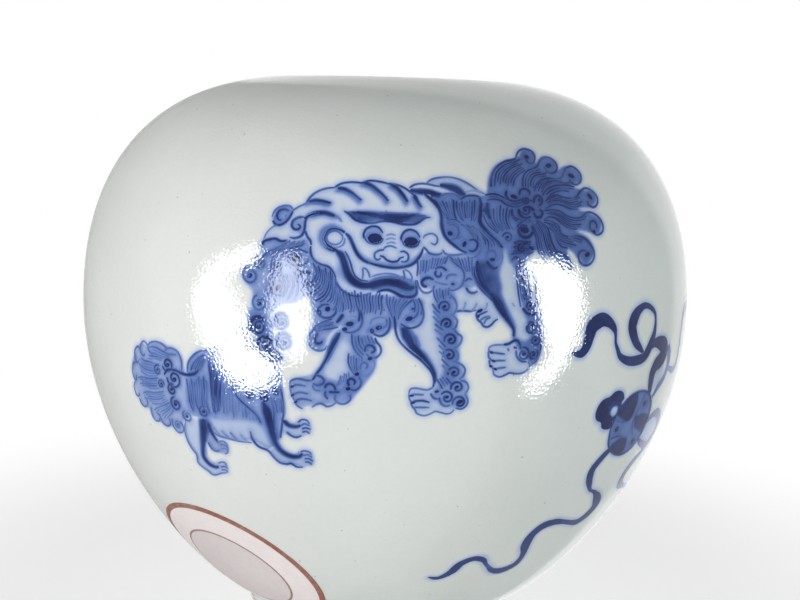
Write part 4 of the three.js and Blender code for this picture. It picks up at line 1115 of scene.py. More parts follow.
    dab(12.75, 9.3, 0.55, 0.2, -30, 0.98)
    line(0.95, 0.26, [(13.1, 8.8), (13.4, 8.25), (14, 8.25), (14.3, 8.8), (13.9, 9.15)])
    hair(0.9, 0.18, 6, [(10.3, 9.2), (10.3, 8.4), (10.8, 7.8), (11.6, 7.5)],
         [(10.8, 7), (11.4, 7.6), (12.6, 7.9), (13.3, 7.4)])
    hair(0.92, 0.2, 6, [(10.4, 5.2), (11.2, 5.4), (12.2, 5.2), (12.8, 5.6)],
         [(10, 3.9), (11, 4.1), (12.4, 4), (13.4, 4.4)])
    dab(11.9, 5.2, 0.4, 0.22, 20, 0.9)
    dab(12.6, 4.6, 0.4, 0.18, -30, 0.9)
    for x, y, size, start in ((12.1, 9.1, 0.62, 200), (12.2, 10.3, 0.5, 150), (11.4, 4.6, 0.55, 100)):
        curl(x, y, size, start, 1.2, 0.95, 0.22)


# The cub, in the same hand but smaller and with fewer hairs. It stands behind the lion with its head thrown
# back, to look up at it.
def draw_cub(d):
    line, hair, curl, dab, wash = d.line, d.hair, d.curl, d.dab, d.wash

    wash(0.27, [
        (-6.4, 4), (-7, 5.7), (-7.2, 6.7), (-8.2, 7.6), (-9.6, 7.9), (-10.8, 8.1), (-12, 8), (-13.4, 7.4),
        (-14.3, 7.6), (-15.1, 7.1), (-15.6, 6.2), (-16.5, 5.2), (-16.6, 4), (-16.5, 2.8), (-16.3, 1.6),
        (-15.8, 0.4), (-15.2, -0.6), (-14, -1), (-13.5, -2), (-12, -2.3), (-10.8, -2.6), (-9.6, -2.6),
        (-8.6, -3.1), (-7.8, -1.4), (-6.2, 0.4), (-6.4, 2.4),
    ], 0.4)
    wash(0.34, [
        (-3.6, 8), (-1, 9.6), (0.6, 11), (2.4, 11.3), (3.2, 9.5), (5.2, 7.7), (6.3, 7), (6.4, 5), (6.4, 3),
        (6, 0.6), (5.8, -1.4), (5, -2.4), (4, -3.2), (2.2, -2.4), (0, -2.6), (-2.6, -2.5), (-4.2, -0.6),
        (-6.2, -0.4), (-7, 1), (-6.8, 3), (-6.3, 5.2), (-5.6, 7),
    ], 0.4)
    wash(0.19, [(-3.4, -0.5), (0, -0.2), (2.2, 0.1), (3.4, -0.6), (4.1, -2.9), (2.2, -2.2), (0, -2.5),
                (-2.8, -2.4)], 0.8)
    wash(0.16, [(-6.6, -0.8), (-7.9, -2.6), (-7.4, -4.8), (-6.6, -5.9), (-6.6, -7), (-5, -8.3), (-3.4, -8),
                (-2.2, -7.4), (-2.4, -6.2), (-4.6, -6.3), (-4.9, -4.6), (-4.2, -2.2), (-3.8, -0.8)], 0.35)
    wash(0.28, [(-4.6, -1), (-4.3, -4.2), (-3.4, -4.8), (-2, -4.8), (-1.5, -3.5), (-3, -3), (-3.2, -1.6)],
         0.35)
    wash(0.16, [(5.8, 0.6), (7.2, 0.4), (8.2, 0.8), (9.4, 0.7), (9.3, -0.7), (8, -1.2), (7, -1.3),
                (5.8, -0.8)], 0.3)
    wash(0.2, [(4.6, -3), (6.4, -3.7), (8, -3.2), (9.3, -3.2), (9.2, -4.8), (7.4, -5.2), (5.4, -5),
               (4.2, -3.8)], 0.3)
    wash(0.6, [(-5.3, -0.6), (-3.9, -0.6), (-3.9, -2), (-4.7, -3.4), (-5, -5), (-5.4, -6), (-5.6, -4),
               (-5.4, -2)], 0.5)

    # Tail: curled tips along its edge, locks that stream back from a hub of dark curls
    for tip in (
        [(-7.3, 5), (-7.2, 6.2), (-7.7, 7.3), (-8.7, 7.7), (-9.6, 7.5), (-10.2, 6.9)],
        [(-9.6, 7.6), (-10.6, 8.05), (-11.8, 8.1), (-12.8, 7.7), (-13, 7), (-12.3, 6.5), (-11.6, 6.8)],
        [(-12.8, 7.2), (-13.4, 7.7), (-14, 7.8), (-14.5, 7.3), (-14.6, 6.5), (-14.1, 6), (-13.7, 6.3)],
        [(-14.6, 6.7), (-15.2, 7), (-15.8, 6.4), (-15.9, 5.5), (-15.5, 4.9), (-15.1, 5.2)],
        [(-15.9, 4.9), (-16.4, 4.6), (-16.7, 3.7), (-16.5, 2.8), (-16, 2.6), (-15.9, 3.2)],
        [(-16.3, 2.4), (-16.7, 1.6), (-16.5, 0.7), (-16, 0.4), (-15.7, 0.9)],
        [(-15.9, 0.2), (-15.5, -0.5), (-14.9, -0.8), (-14.3, -0.5), (-14.2, 0.2), (-14.6, 0.6)],
        [(-13.6, -0.6), (-13.6, -1.6), (-13.1, -2.3), (-12.3, -2.2), (-12, -1.5), (-12.6, -1.1)],
        [(-12, -1.5), (-11.6, -2.4), (-10.8, -2.65), (-10.2, -2.2), (-10.3, -1.5)],
        [(-9.8, -1.4), (-9.7, -2.5), (-9, -3.15), (-8.2, -2.9), (-8, -2.1), (-8.5, -1.6)],
    ):
        line(0.62, 0.19, tip, taper=(0.1, 0.1))
    hair(0.62, 0.2, 5, [(-8, 7), (-9.6, 6.9), (-11.6, 7.4), (-13.4, 7.1)],
         [(-10.4, 5.9), (-11.6, 6), (-12.8, 5.8), (-13.6, 6)])
    hair(0.62, 0.2, 6, [(-11, 5.2), (-12.8, 5.4), (-14.1, 5.4), (-15, 6)],
         [(-11.4, 3.9), (-13, 3.6), (-14.4, 3.8), (-15.5, 4.4)])
    hair(0.66, 0.23, 5, [(-11.4, 3.6), (-13.2, 3.2), (-14.5, 3.2), (-15.7, 2.9)],
         [(-11, 2.4), (-13, 2), (-14.2, 2.2), (-15.7, 1.8)])
    hair(0.6, 0.19, 6, [(-10.6, 2), (-12.4, 1.5), (-13.9, 1.4), (-15.1, 0.9)],
         [(-10, 1), (-11.6, 0.2), (-13.1, 0), (-14.1, 0.1)])
    hair(0.62, 0.19, 6, [(-9.8, 0.7), (-11.2, 0), (-12.6, -0.6), (-13.2, -1.2)],
         [(-9.2, 0), (-9.8, -0.8), (-10.4, -1.3), (-10.8, -2)])
    for x, y, size, start, ink in (
        (-9.6, 5.6, 1, 200, 0.9), (-8.6, 3.95, 1.25, 180, 0.95), (-11.4, 4.6, 0.7, 60, 0.8),
        (-9.1, 2.5, 0.8, 60, 0.85), (-11, 2.9, 0.6, 0, 0.8), (-8.7, 0.7, 0.95, 100, 0.8),
        (-7, -0.6, 0.8, 120, 0.6), (-4.3, 0.4, 0.8, 60, 0.7), (-8.9, -2.1, 0.5, 60, 0.6),
    ):
        curl(x, y, size, start, 1.3, ink, 0.24)
    line(0.9, 0.34, [(-10.3, 4.2), (-9.6, 4.9), (-8.4, 5.05), (-7.2, 4.8), (-6.2, 4.8), (-5.2, 5.1),
                     (-4.5, 5.8), (-3.9, 6.8)])

    # Haunch and back, with the hair drawn down over the ribs
    line(0.7, 0.24, [(-6.4, 5.1), (-6.15, 6.3), (-5.3, 7.3), (-4.3, 7.9), (-3.5, 8.1)])
    line(0.62, 0.2, [(-3.6, 8.1), (-2.4, 8.3), (-1.4, 9), (-0.8, 9.8), (0.2, 10.8), (1.5, 11.2), (2.2, 11.2)])
    hair(0.8, 0.21, 5, [(-5.8, 5.4), (-5.3, 6.3), (-4.6, 7), (-3.8, 7.5)],
         [(-4.6, 5.4), (-4.2, 6), (-3.9, 6.6), (-3.4, 7)])
    hair(0.74, 0.18, 9, [(-6.6, 4.3), (-6.4, 2.8), (-6.3, 1.2), (-5.8, 0)],
         [(-3.6, 5.2), (-3.6, 3.4), (-3.8, 1.6), (-3.4, 0.2)])
    hair(0.86, 0.26, 6, [(-3.2, 7.2), (-2.9, 5), (-2.9, 2.6), (-2.8, 0.1)],
         [(-1.2, 5.9), (-1.6, 4), (-1.8, 2), (-1.9, 0.1)])
    hair(0.58, 0.17, 11, [(-1.1, 6.6), (-1.2, 4.2), (-1.4, 2), (-1.4, 0.2)],
         [(2.4, 1.9), (2.7, 1.2), (2.9, 0.6), (2.9, 0.2)])
    hair(0.6, 0.17, 9, [(-2.6, 8), (-1.8, 7), (-1, 6), (-0.4, 5.2)],
         [(1.6, 10.8), (1.9, 9.2), (1.8, 7.4), (1.2, 5.6)])
    line(0.8, 0.22, [(-0.1, 4.8), (0.2, 3.7), (0.9, 2.7), (2, 1.8), (2.9, 1), (3.4, 0.1)])
    line(0.62, 0.18, [(-3.6, -1.8), (-2.7, -2.4), (-1.4, -2.6), (0.2, -2.75), (1.9, -2.7)])
    for rib in ([(-3.2, -1.4), (-2.8, -1.9), (-2.2, -2.4)], [(-2.1, -1.7), (-1.7, -2.1), (-1.1, -2.5)],
                [(-0.9, -1.7), (-0.5, -2.2), (0.1, -2.7)], [(0.5, -1.8), (0.9, -2.3), (1.4, -2.7)]):
        line(0.5, 0.18, rib)

    # Hind legs
    line(0.93, 0.8, [(-4.6, -0.6), (-4.7, -1.8), (-4.9, -3.2), (-5.3, -4.6), (-5.45, -5.8), (-4.9, -6.7),
                     (-4, -7.05), (-3.4, -6.9)], taper=(0.08, 0.7))
    line(0.6, 0.2, [(-7.4, -1.2), (-7.85, -2.6), (-7.7, -3.9), (-7.2, -5), (-6.6, -5.8), (-6.65, -6.9),
                    (-6, -7.5), (-5.2, -7.9), (-4.7, -8.3), (-4, -8.2), (-3.2, -7.8), (-2.4, -7.6)])
    for toe in (
        [(-3.4, -6.4), (-2.8, -6.1), (-2.3, -6.2), (-2.25, -6.6)],
        [(-3.1, -6.9), (-2.5, -6.7), (-2.1, -6.9)],
        [(-3.1, -7.3), (-2.5, -7.2), (-2.15, -7.5)],
    ):
        line(0.6, 0.18, toe)
    line(0.85, 0.5, [(-3.9, -0.9), (-3.6, -2), (-3.1, -2.9), (-2.7, -3.4)], taper=(0.1, 0.6))
    line(0.65, 0.2, [(-4.4, -3.6), (-4, -4.4), (-3.4, -4.7), (-2.8, -4.5)])
    line(0.55, 0.2, [(-2.9, -3.3), (-2.2, -3.1), (-1.7, -3.3), (-1.55, -3.9), (-1.7, -4.6), (-2.1, -4.9)])
    for toe in ([(-2.6, -3.7), (-2.1, -3.6), (-1.6, -3.8)], [(-2.5, -4.2), (-2, -4.1), (-1.6, -4.3)]):
        line(0.5, 0.16, toe)

    # Forelegs: the dark inner edge, the near arm and both paws
    line(0.93, 1, [(3.9, 2.8), (4.3, 1.6), (4.6, 0.2), (4.8, -1.2), (5, -2.3), (5.6, -3.3), (6.6, -3.85),
                   (7.6, -3.85), (8.2, -3.4)], taper=(0.12, 0.8))
    line(0.75, 0.24, [(6.2, 4.6), (6.4, 3.2), (6.4, 1.8), (6.15, 0.6), (5.9, -0.6), (5.7, -1.6)])
    line(0.7, 0.2, [(4.9, 3.4), (5.15, 2), (5.1, 0.4), (5.1, -1)])
    hair(0.67, 0.17, 4, [(5.3, 3.4), (5.6, 2.4), (5.6, 1.4)], [(6.1, 3.6), (6.2, 2.6), (6.2, 1.6)])
    line(0.92, 0.55, [(6.3, 0.7), (6.9, 0.15), (7.7, 0.05), (8.3, 0.25)], taper=(0.15, 0.6))
    line(0.72, 0.22, [(6.5, -0.7), (7.1, -1.2), (7.7, -1.3), (8.3, -1.05)])
    for toe in (
        [(8, 0.6), (8.5, 1), (9.1, 0.95), (9.4, 0.5)],
        [(8.3, 0.2), (8.8, 0.5), (9.4, 0.3)],
        [(8.4, -0.2), (8.9, 0), (9.45, -0.15)],
        [(8.4, -0.6), (8.9, -0.45), (9.3, -0.7)],
    ):
        line(0.72, 0.18, toe)
    line(0.75, 0.24, [(1.9, -1.2), (2.1, -2.3), (2.8, -3.1), (3.9, -3.5), (4.5, -4.3), (5.2, -4.95),
                      (6, -5.05), (6.6, -4.9), (7.2, -5.3), (8, -5.25)])
    for toe in (
        [(7.9, -3.2), (8.4, -3), (9, -3.1), (9.2, -3.5)],
        [(8.2, -3.7), (8.7, -3.5), (9.25, -3.8)],
        [(8.3, -4.1), (8.8, -4), (9.3, -4.3)],
        [(8.3, -4.5), (8.8, -4.5), (9.1, -4.8)],
    ):
        line(0.72, 0.18, toe)
    for x, y, size, start, ink in (
        (2.3, 3.4, 0.6, 60, 0.85), (4.2, 3.3, 0.7, 60, 0.97), (5.6, 4.1, 0.5, 60, 0.8),
        (3.3, 6.2, 0.8, 200, 0.75), (1.5, 5.4, 0.6, 60, 0.7), (5.3, 6.2, 0.6, 200, 0.75),
    ):
        curl(x, y, size, start, 1.2, ink, 0.2)

    # The head is thrown back to look up at the lion, so its face is drawn turned
    head_x, head_y, head_turn = 2, 7.7, math.radians(62)
    cos, sin = math.cos(head_turn), math.sin(head_turn)

    def face(points):
        return [(head_x + u * cos - v * sin, head_y + u * sin + v * cos) for u, v in points]

    wash(
        0.06,
        face([(-2.9, 1.9), (-3.2, 0), (-3, -1.9), (-2, -3.2), (0, -3.5), (2, -3.2), (3, -1.9), (3.2, 0),
              (2.9, 1.9), (0, 2.6)]),
        0.3,
    )
    for side in (-1, 1):
        (eye,) = face([(1.4 * side, 0.2)])
        dab(*eye, 0.45, 0.36, 30, 0.9)
        line(
            0.6, 0.16,
            face([(0.6 * side, 0), (0.8 * side, 0.8), (1.5 * side, 1.05), (2.2 * side, 0.7),
                  (2.4 * side, 0)]),
        )
        line(0.7, 0.3, face([(0.3 * side, 1.25), (1.1 * side, 1.75), (2 * side, 1.75), (2.9 * side, 1.2)]),
             taper=(0.1, 0.5))
        line(0.55, 0.16, face([(0.1 * side, -1.7), (0.6 * side, -1.4), (1 * side, -1.6), (0.8 * side, -2)]))
        line(
            0.62, 0.18,
            face([(2.9 * side, 1.8), (3.2 * side, 0.5), (3.05 * side, -1.2), (2.5 * side, -2.6),
                  (1.5 * side, -3.3), (0.3 * side, -3.5)]),
        )
    line(
        0.7, 0.22,
        face([(-2.2, -2), (-1.5, -2.65), (-0.6, -2.5), (0, -2.3), (0.6, -2.5), (1.5, -2.65), (2.2, -2)]),
        taper=(0.3, 0.3),
    )
    for lobe in (-2.1, -0.7, 0.7, 2.1):
        line(0.6, 0.2, face([(lobe - 0.7, 2), (lobe - 0.2, 2.8), (lobe + 0.4, 2.7), (lobe + 0.7, 2)]))


# Both go on one sheet, so that the cub covers the lion where they meet. Each is placed by its middle: an
# azimuth in degrees from the front and a length along the wall above the belly.
LION_AZIMUTH, LION_LEVEL = 6, 7
CUB_AZIMUTH, CUB_LEVEL = -24, -9.6
LIONS_SHEET = (-43, -27), (25, 19.5)


def from_cub_to_lion(points):
    """The same places of the wall, counted from the lion's middle instead of the cub's."""
    points = np.array(points, float)
    radius = wall_at(CUB_LEVEL + points[:, 1])[0]
    points[:, 0] += math.radians(CUB_AZIMUTH - LION_AZIMUTH) * radius
    points[:, 1] += CUB_LEVEL - LION_LEVEL
    return points


def draw_lions():
    d = Drawing(*LIONS_SHEET)
    draw_lion(d)
    d.move = from_cub_to_lion
    draw_cub(d)
    return d


# The brocade ball that the lions play with, tied with long ribbons. A ribbon is one loaded stroke that swells
# and thins as it turns.
BALL_AZIMUTH, BALL_LEVEL = 50, -11.45
BALL_SHEET = (-22.8, -23), (22, 17)


def draw_ball():
    d = Drawing(*BALL_SHEET)
    line, dab, wash, band = d.line, d.dab, d.wash, d.band

    # The bow behind the ball, with the light hole that it leaves
    wash(0.85, [(-7.2, 2.5), (-6.6, 3.6), (-5.5, 3.9), (-4.4, 3.4), (-4, 2.4), (-4.6, 1.4), (-5.6, 1.1),
                (-6.7, 1.5)], 0.3)
    wash(0.14, [(-6.3, 2.4), (-6, 2.95), (-5.5, 3.1), (-4.95, 2.9), (-4.8, 2.4), (-5, 1.9), (-5.5, 1.65),
                (-6.05, 1.85)], 0.35)

    # The ball, divided by dark straps with a small rosette in each field
    wash(0.5, [(-5.3, -0.1), (-4.7, 2.1), (-3.1, 3.7), (-0.8, 4.3), (1.8, 3.8), (3.6, 2.3), (4.3, 0.1),
               (3.8, -2.2), (2.3, -4), (-0.2, -4.6), (-2.7, -3.9), (-4.5, -2.4)], 0.3)
    wash(0.97, [(-4.7, 1.9), (-3.3, 3.6), (-1, 4.2), (-0.7, 2.3), (-1.3, 0.6), (-2.9, 0.9)], 0.6)
    wash(0.85, [(0, 0.8), (2.2, 0.8), (4.2, -0.1), (3.8, -2), (2, -1.5), (0.4, -0.6)], 0.6)
    wash(0.92, [(-3.9, -2.4), (-2.1, -1.9), (-0.4, -2.4), (-0.5, -4.3), (-2, -4.2), (-3.4, -3.4)], 0.6)
    line(0.9, 0.3, [
        (-5.3, -0.1), (-4.7, 2.1), (-3.1, 3.7), (-0.8, 4.3), (1.8, 3.8), (3.6, 2.3), (4.3, 0.1), (3.8, -2.2),
        (2.3, -4), (-0.2, -4.6), (-2.7, -3.9), (-4.5, -2.4), (-5.3, -0.1),
    ], taper=(0.02, 0.02))
    line(0.75, 0.26, [(-4.8, 1.3), (-3.5, 0.6), (-2.1, 0.6), (-1, 1.2), (-0.5, 2.7), (-0.7, 4.1)])
    line(0.75, 0.26, [(-4.8, -1.6), (-3.1, -1.4), (-1.4, -1.9), (-0.1, -3), (0, -4.5)])
    line(0.75, 0.26, [(1.3, 3.9), (0.7, 2.6), (0, 1.1), (-0.2, -0.2), (0.6, -1.6), (1.6, -2.8), (2.1, -4)])
    for x, y in ((1.7, 2.3), (-3.8, -0.3), (1.6, -3.1)):
        line(0.6, 0.2, [(x - 0.9, y), (x - 0.3, y + 0.8), (x + 0.6, y + 0.6), (x + 0.9, y - 0.2),
                        (x + 0.2, y - 0.8), (x - 0.7, y - 0.5), (x - 0.9, y)])
        dab(x, y, 0.42, 0.38, 0, 0.95)

    # Ribbons, each point with the ribbon's width there
    band(0.93, [
        (-14.6, 10.7, 0.15), (-13.6, 10.5, 0.8), (-12.9, 10.6, 1.1), (-12.3, 11.3, 1.3), (-11.9, 12.5, 1.6),
        (-11.5, 13.5, 1.8), (-10.8, 14, 1.8), (-9.7, 14.3, 1.7), (-8.6, 13.9, 1.3), (-7.7, 13.1, 0.9),
        (-7.4, 12.3, 0.5), (-7.3, 11.3, 0.45), (-6.9, 10.5, 0.6), (-6.2, 9.5, 0.8), (-4.6, 8.8, 1.1),
        (-2.8, 8.6, 1.3), (-1, 8.8, 1.3), (0, 9.6, 1.4), (0.8, 10.7, 1.3), (1.3, 11.7, 0.9), (1.5, 13.1, 0.5),
        (1.2, 14.2, 0.6), (0, 15, 0.7), (-1.3, 15.3, 0.8), (-2.4, 15, 1.1), (-3.2, 14.5, 1.5),
        (-3.8, 13.8, 1.8), (-4.1, 12.9, 1.7), (-3.7, 11.8, 1.5), (-3, 10.8, 1.2), (-2, 10, 0.8),
        (-1.2, 9.4, 0.4),
    ])
    band(0.93, [(0.6, 9.9, 0.7), (1.8, 10.3, 1.2), (3.3, 10.1, 1.8), (4.6, 9.5, 2.3), (4.9, 8.6, 2.5),
                (4.1, 7.8, 2.3), (2.8, 7.3, 1.9), (2.1, 6.3, 1.7), (2.1, 4.9, 1.3), (2.5, 3.5, 0.7)])
    band(0.62, [(6.4, 9.4, 0.8), (7.1, 8, 1.3), (7.2, 6.4, 1.1), (6.4, 5, 1.1), (4.8, 4, 1), (3.6, 2.8, 0.5)])
    wash(0.12, [(3.4, 7.4), (5.2, 7.4), (5.8, 6), (4.6, 4.6), (3, 4), (2.9, 5.6)], 0.6)
    band(0.62, [
        (7.2, 6.2, 0.5), (8.8, 5.8, 0.8), (10.6, 5.4, 0.9), (12, 6.2, 0.9), (12.3, 8.2, 0.9),
        (12.5, 10.4, 0.9), (13.3, 12.4, 1), (15, 13.3, 1.1), (17.2, 13.2, 1), (19, 13.6, 0.7),
        (20.4, 14.6, 0.2),
    ])
    band(0.95, [(-4.2, 3.6, 0.7), (-4.9, 4.2, 1.4), (-5.9, 4.3, 1.6), (-6.8, 4, 1.2), (-7.7, 3.4, 2.1),
                (-7.9, 2.5, 2.2), (-7.2, 1.7, 1.3), (-6.6, 1.2, 1.9), (-5.9, 0.7, 1.5), (-5.3, 0.3, 0.6)])
    band(0.85, [
        (-3.7, -3.1, 0.9), (-4.9, -4.1, 1.2), (-5.9, -5.6, 1.3), (-5.7, -7, 1.2), (-5, -8.2, 0.9),
        (-4.2, -9.2, 0.5), (-2.8, -9.9, 0.6), (-1.3, -11.2, 1.4), (-0.4, -12.6, 1.8), (-1, -14, 1.7),
        (-2.6, -14.9, 1.2), (-4.4, -14.6, 0.8), (-6.2, -14, 0.8), (-8.2, -13.6, 1.1), (-10, -13.9, 1.5),
        (-10.9, -15.2, 1.5), (-10.8, -16.8, 1.5), (-10.1, -18.4, 1), (-9.7, -19.8, 0.9), (-9.9, -21.2, 1.3),
        (-11.2, -21.9, 1.4), (-13, -21.5, 0.8), (-14.8, -20, 0.45), (-16, -18.8, 0.7), (-17.6, -18.3, 1),
        (-18.9, -19.2, 1.3), (-19.2, -20.8, 1.3), (-20.2, -21.9, 0.8), (-21.7, -21.6, 0.2),
    ])
    wash(0.2, [(4.2, -1.2), (6.5, 0), (8.6, -0.2), (10.4, -1.6), (10.4, -3.8), (8, -5), (5.6, -4.6),
               (3.6, -3.4)], 0.8)
    band(0.7, [(3.8, -1, 0.5), (5.6, -0.2, 1), (7.6, -0.1, 1.2), (9.8, -1.2, 1.1), (11, -2.8, 1.1),
               (10.2, -4.4, 1.3), (8.4, -5.2, 1.1), (6.2, -4.6, 1), (4.4, -3.8, 0.8), (3.2, -3, 0.4)])
    band(0.75, [
        (9, -5, 0.8), (7, -6.2, 1), (5, -7.2, 1.3), (4, -8.8, 1.5), (4.6, -10.6, 1.4), (7, -11.6, 0.8),
        (10, -12.6, 0.7), (13.4, -14, 1.1), (16.6, -15.4, 1.5), (18.8, -15.2, 1.5), (20.2, -13.4, 1.2),
        (20.2, -11, 0.9), (19.8, -8.4, 1.1), (20.4, -6, 0.8), (21.2, -4.6, 0.2),
    ])
    return d


# The cobalt on the wall, one thin layer under the glaze for each figure. It is laid on as it was painted: a
# soaked sheet of washes first and the brush strokes over it, each a hair higher than the one before.
WASH_LIFT = 0.005
STROKE_LIFT, STROKE_STEP = 0.014, 0.00008
BROAD_STROKE = 0.6  # from here on a stroke needs more points across to follow the round wall
WASH_STRIDE = 3  # how many steps of the sheet a square of the wash is wide
FAINTEST_INK = 0.012
SHEET_MARGIN = 0.01
GATHER_SCALE = 420
THIN_INK, THICK_INK = 0.9, 1.1  # how far the cobalt gathers in places
INK_RAMP = (  # what the cobalt lets through, from bare glaze to the brush's darkest touch
    (0, (1, 1, 1, 1)),
    (0.2, (0.535, 0.64, 0.955, 1)),
    (0.45, (0.145, 0.255, 0.67, 1)),
    (0.75, (0.014, 0.045, 0.24, 1)),
    (1, (0.001, 0.01, 0.1, 1)),
)

cobalt = bpy.data.materials.new("cobalt_under_glaze")
cobalt.use_nodes = True
tree = cobalt.node_tree
shader = tree.nodes["Principled BSDF"]
place, colour, ripple = glaze_nodes(tree)
ink = add_node(tree, "ShaderNodeAttribute", -1600, 1000, attribute_name="ink").outputs["Fac"]
patches = noise(tree, -1600, 1300, place, GATHER_SCALE, 4)
gather = spread(tree, -1400, 1300, patches, NOISE_LOW, NOISE_HIGH, THIN_INK, THICK_INK)
uneven = calculate(tree, -1200, 1100, "MULTIPLY", ink, gather)
stain = add_node(tree, "ShaderNodeValToRGB", -1000, 1100, Fac=uneven)
stops = stain.color_ramp.elements
for at, _ in INK_RAMP[1:-1]:
    stops.new(at)
for stop, (at, tint) in zip(stops, INK_RAMP):
    stop.position, stop.color = at, tint
through_ink = mix(tree, -400, 700, 1, colour, stain.outputs[0], blend_type="MULTIPLY")
tree.links.new(through_ink, shader.inputs["Base Color"])
tree.links.new(ripple, shader.inputs["Normal"])
shader.inputs["Roughness"].default_value = GLAZE_ROUGHNESS
shader.inputs["IOR"].default_value = GLAZE_IOR


def wash_faces(drawing):
    """The soaked sheet as a net of small squares, left out where it is dry."""
    ink = drawing.paper[::WASH_STRIDE, ::WASH_STRIDE]
    places = drawing.places()[::WASH_STRIDE, ::WASH_STRIDE]
    numbers = np.arange(ink.size).reshape(ink.shape)
    corners = np.stack([numbers[:-1, :-1], numbers[1:, :-1], numbers[1:, 1:], numbers[:-1, 1:]], -1)
    corners = corners.reshape(-1, 4)
    corners = corners[ink.ravel()[corners].max(1) > FAINTEST_INK]
    used, faces = np.unique(corners, return_inverse=True)
    return places.reshape(-1, 2)[used], ink.ravel()[used], faces.reshape(-1, 4)


def stroke_faces(drawing, path, halves, inks, soft):
    """One stroke as a ribbon, full in the middle, with soft edges that take up what lies under them."""
    forward = np.gradient(path, axis=0)
    forward /= np.maximum(np.linalg.norm(forward, axis=1, keepdims=True), 1e-9)
    side = np.stack([-forward[:, 1], forward[:, 0]], -1)
    outer = halves[:, None] + soft / 2
    inner = np.maximum(halves[:, None] - soft / 2, 0.25 * halves[:, None])
    middle = np.linspace(-1, 1, 6 if 2 * halves.max() > BROAD_STROKE else 2)
    reach = np.concatenate([-outer, inner * middle, outer], 1)
    places = path[:, None] + side[:, None] * reach[:, :, None]
    tint = drawing.ink_at(places)
    tint[:, 1:-1] = np.maximum(tint[:, 1:-1], inks[:, None])
    across = reach.shape[1]
    row = np.arange(len(path) - 1)[:, None] * across + np.arange(across - 1)
    faces = np.stack([row, row + across, row + across + 1, row + 1], -1).reshape(-1, 4)
    drawing.press(path, halves, inks, soft)
    return places.reshape(-1, 2), tint.ravel(), faces


def all_faces(drawing):
    """The washes and every stroke over them, with each point's lift off the wall."""
    places, inks, faces = wash_faces(drawing)
    parts = [(places, inks, faces, np.full(len(places), WASH_LIFT))]
    start = len(places)
    for number, stroke in enumerate(drawing.strokes):
        places, inks, faces = stroke_faces(drawing, *stroke)
        lift = STROKE_LIFT + number * STROKE_STEP
        parts.append((places, inks, faces + start, np.full(len(places), lift)))
        start += len(places)
    return [np.concatenate(part) for part in zip(*parts)]


def lay_on_wall(name, drawing, sheet_faces, azimuth, level):
    """Wraps a drawing round the pot, its middle at an azimuth in degrees and a length above the belly."""
    places, inks, faces, lifts = sheet_faces
    along = level + places[:, 1]
    turn = math.radians(azimuth) + places[:, 0] / wall_at(along)[0]
    radius, height = wall_at(along, lifts - PAINT_ROOM)
    out, up = wall_facing(along)
    points = np.stack([radius * np.sin(turn), -radius * np.cos(turn), height], -1) * MM
    normals = np.stack([out * np.sin(turn), -out * np.cos(turn), up], -1)
    mesh = bpy.data.meshes.new(name)
    mesh.from_pydata(points.tolist(), [], faces.tolist())
    mesh.attributes.new("ink", "FLOAT", "POINT").data.foreach_set("value", inks.astype(np.float32))
    sheet = (places - drawing.low) / (drawing.high - drawing.low) * (1 - 2 * SHEET_MARGIN) + SHEET_MARGIN
    mesh.uv_layers.new(name="OFBake").data.foreach_set("uv", sheet[faces.ravel()].astype(np.float32).ravel())
    mesh.shade_smooth()
    mesh.normals_split_custom_set_from_vertices(normals.tolist())
    mesh.materials.append(cobalt)
    piece = bpy.data.objects.new(name, mesh)
    bpy.context.scene.collection.objects.link(piece)
    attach(piece, "root")


# The frieze runs round the pot twice, once in front and once behind.
for figure, draw, azimuth, level in (
    ("lions", draw_lions, LION_AZIMUTH, LION_LEVEL),
    ("ball", draw_ball, BALL_AZIMUTH, BALL_LEVEL),
):
    drawing = draw()
    drawing.soak()
    sheet_faces = all_faces(drawing)
    lay_on_wall("painted_" + figure + "_front", drawing, sheet_faces, azimuth, level)
    lay_on_wall("painted_" + figure + "_back", drawing, sheet_faces, azimuth + 180, level)


# The label: a round of thin white paper with a red-brown printed border and a fine inner ring, gummed on the
# wall low on the left. It is pressed on all over, and lifts a little at its edge.
LABEL_RADIUS = 12.5
LABEL_AZIMUTH = math.radians(-38)
ABOVE_FOOT = 0.5
LABEL_LEVEL = WALL_START + ABOVE_FOOT + LABEL_RADIUS
LABEL_SHEET = 2.1 * LABEL_RADIUS  # the width of the flat sheet that its printing is laid out on
PAPER_THICKNESS = 0.14
GUM_THICKNESS = 0.03
EDGE_LIFT, LIFT_WIDTH = 0.12, 0.14  # how high the edge lifts, and over what share of the radius
LABEL_RINGS = 26
LABEL_SIDES = 120
BORDER_WIDTH = 0.75
RING_RADIUS, RING_WIDTH = 7.95, 0.36
PRINT_SOFTNESS, PRINT_FRAY = 0.06, 0.12
FRAY_SCALE, FIBRE_SCALE = 2600, 900
FIBRE_HEIGHT = 0.012
SHARP_EDGE = math.radians(40)  # an edge of the paper that bends more than this stays sharp
PAPER_ROUGHNESS = 0.55
LABEL_PAPER = (0.8, 0.735, 0.745, 1)
LABEL_DISC = (0.66, 0.6, 0.61, 1)
BORDER_INK = (0.24, 0.07, 0.034, 1)
RING_INK = (0.27, 0.15, 0.11, 1)

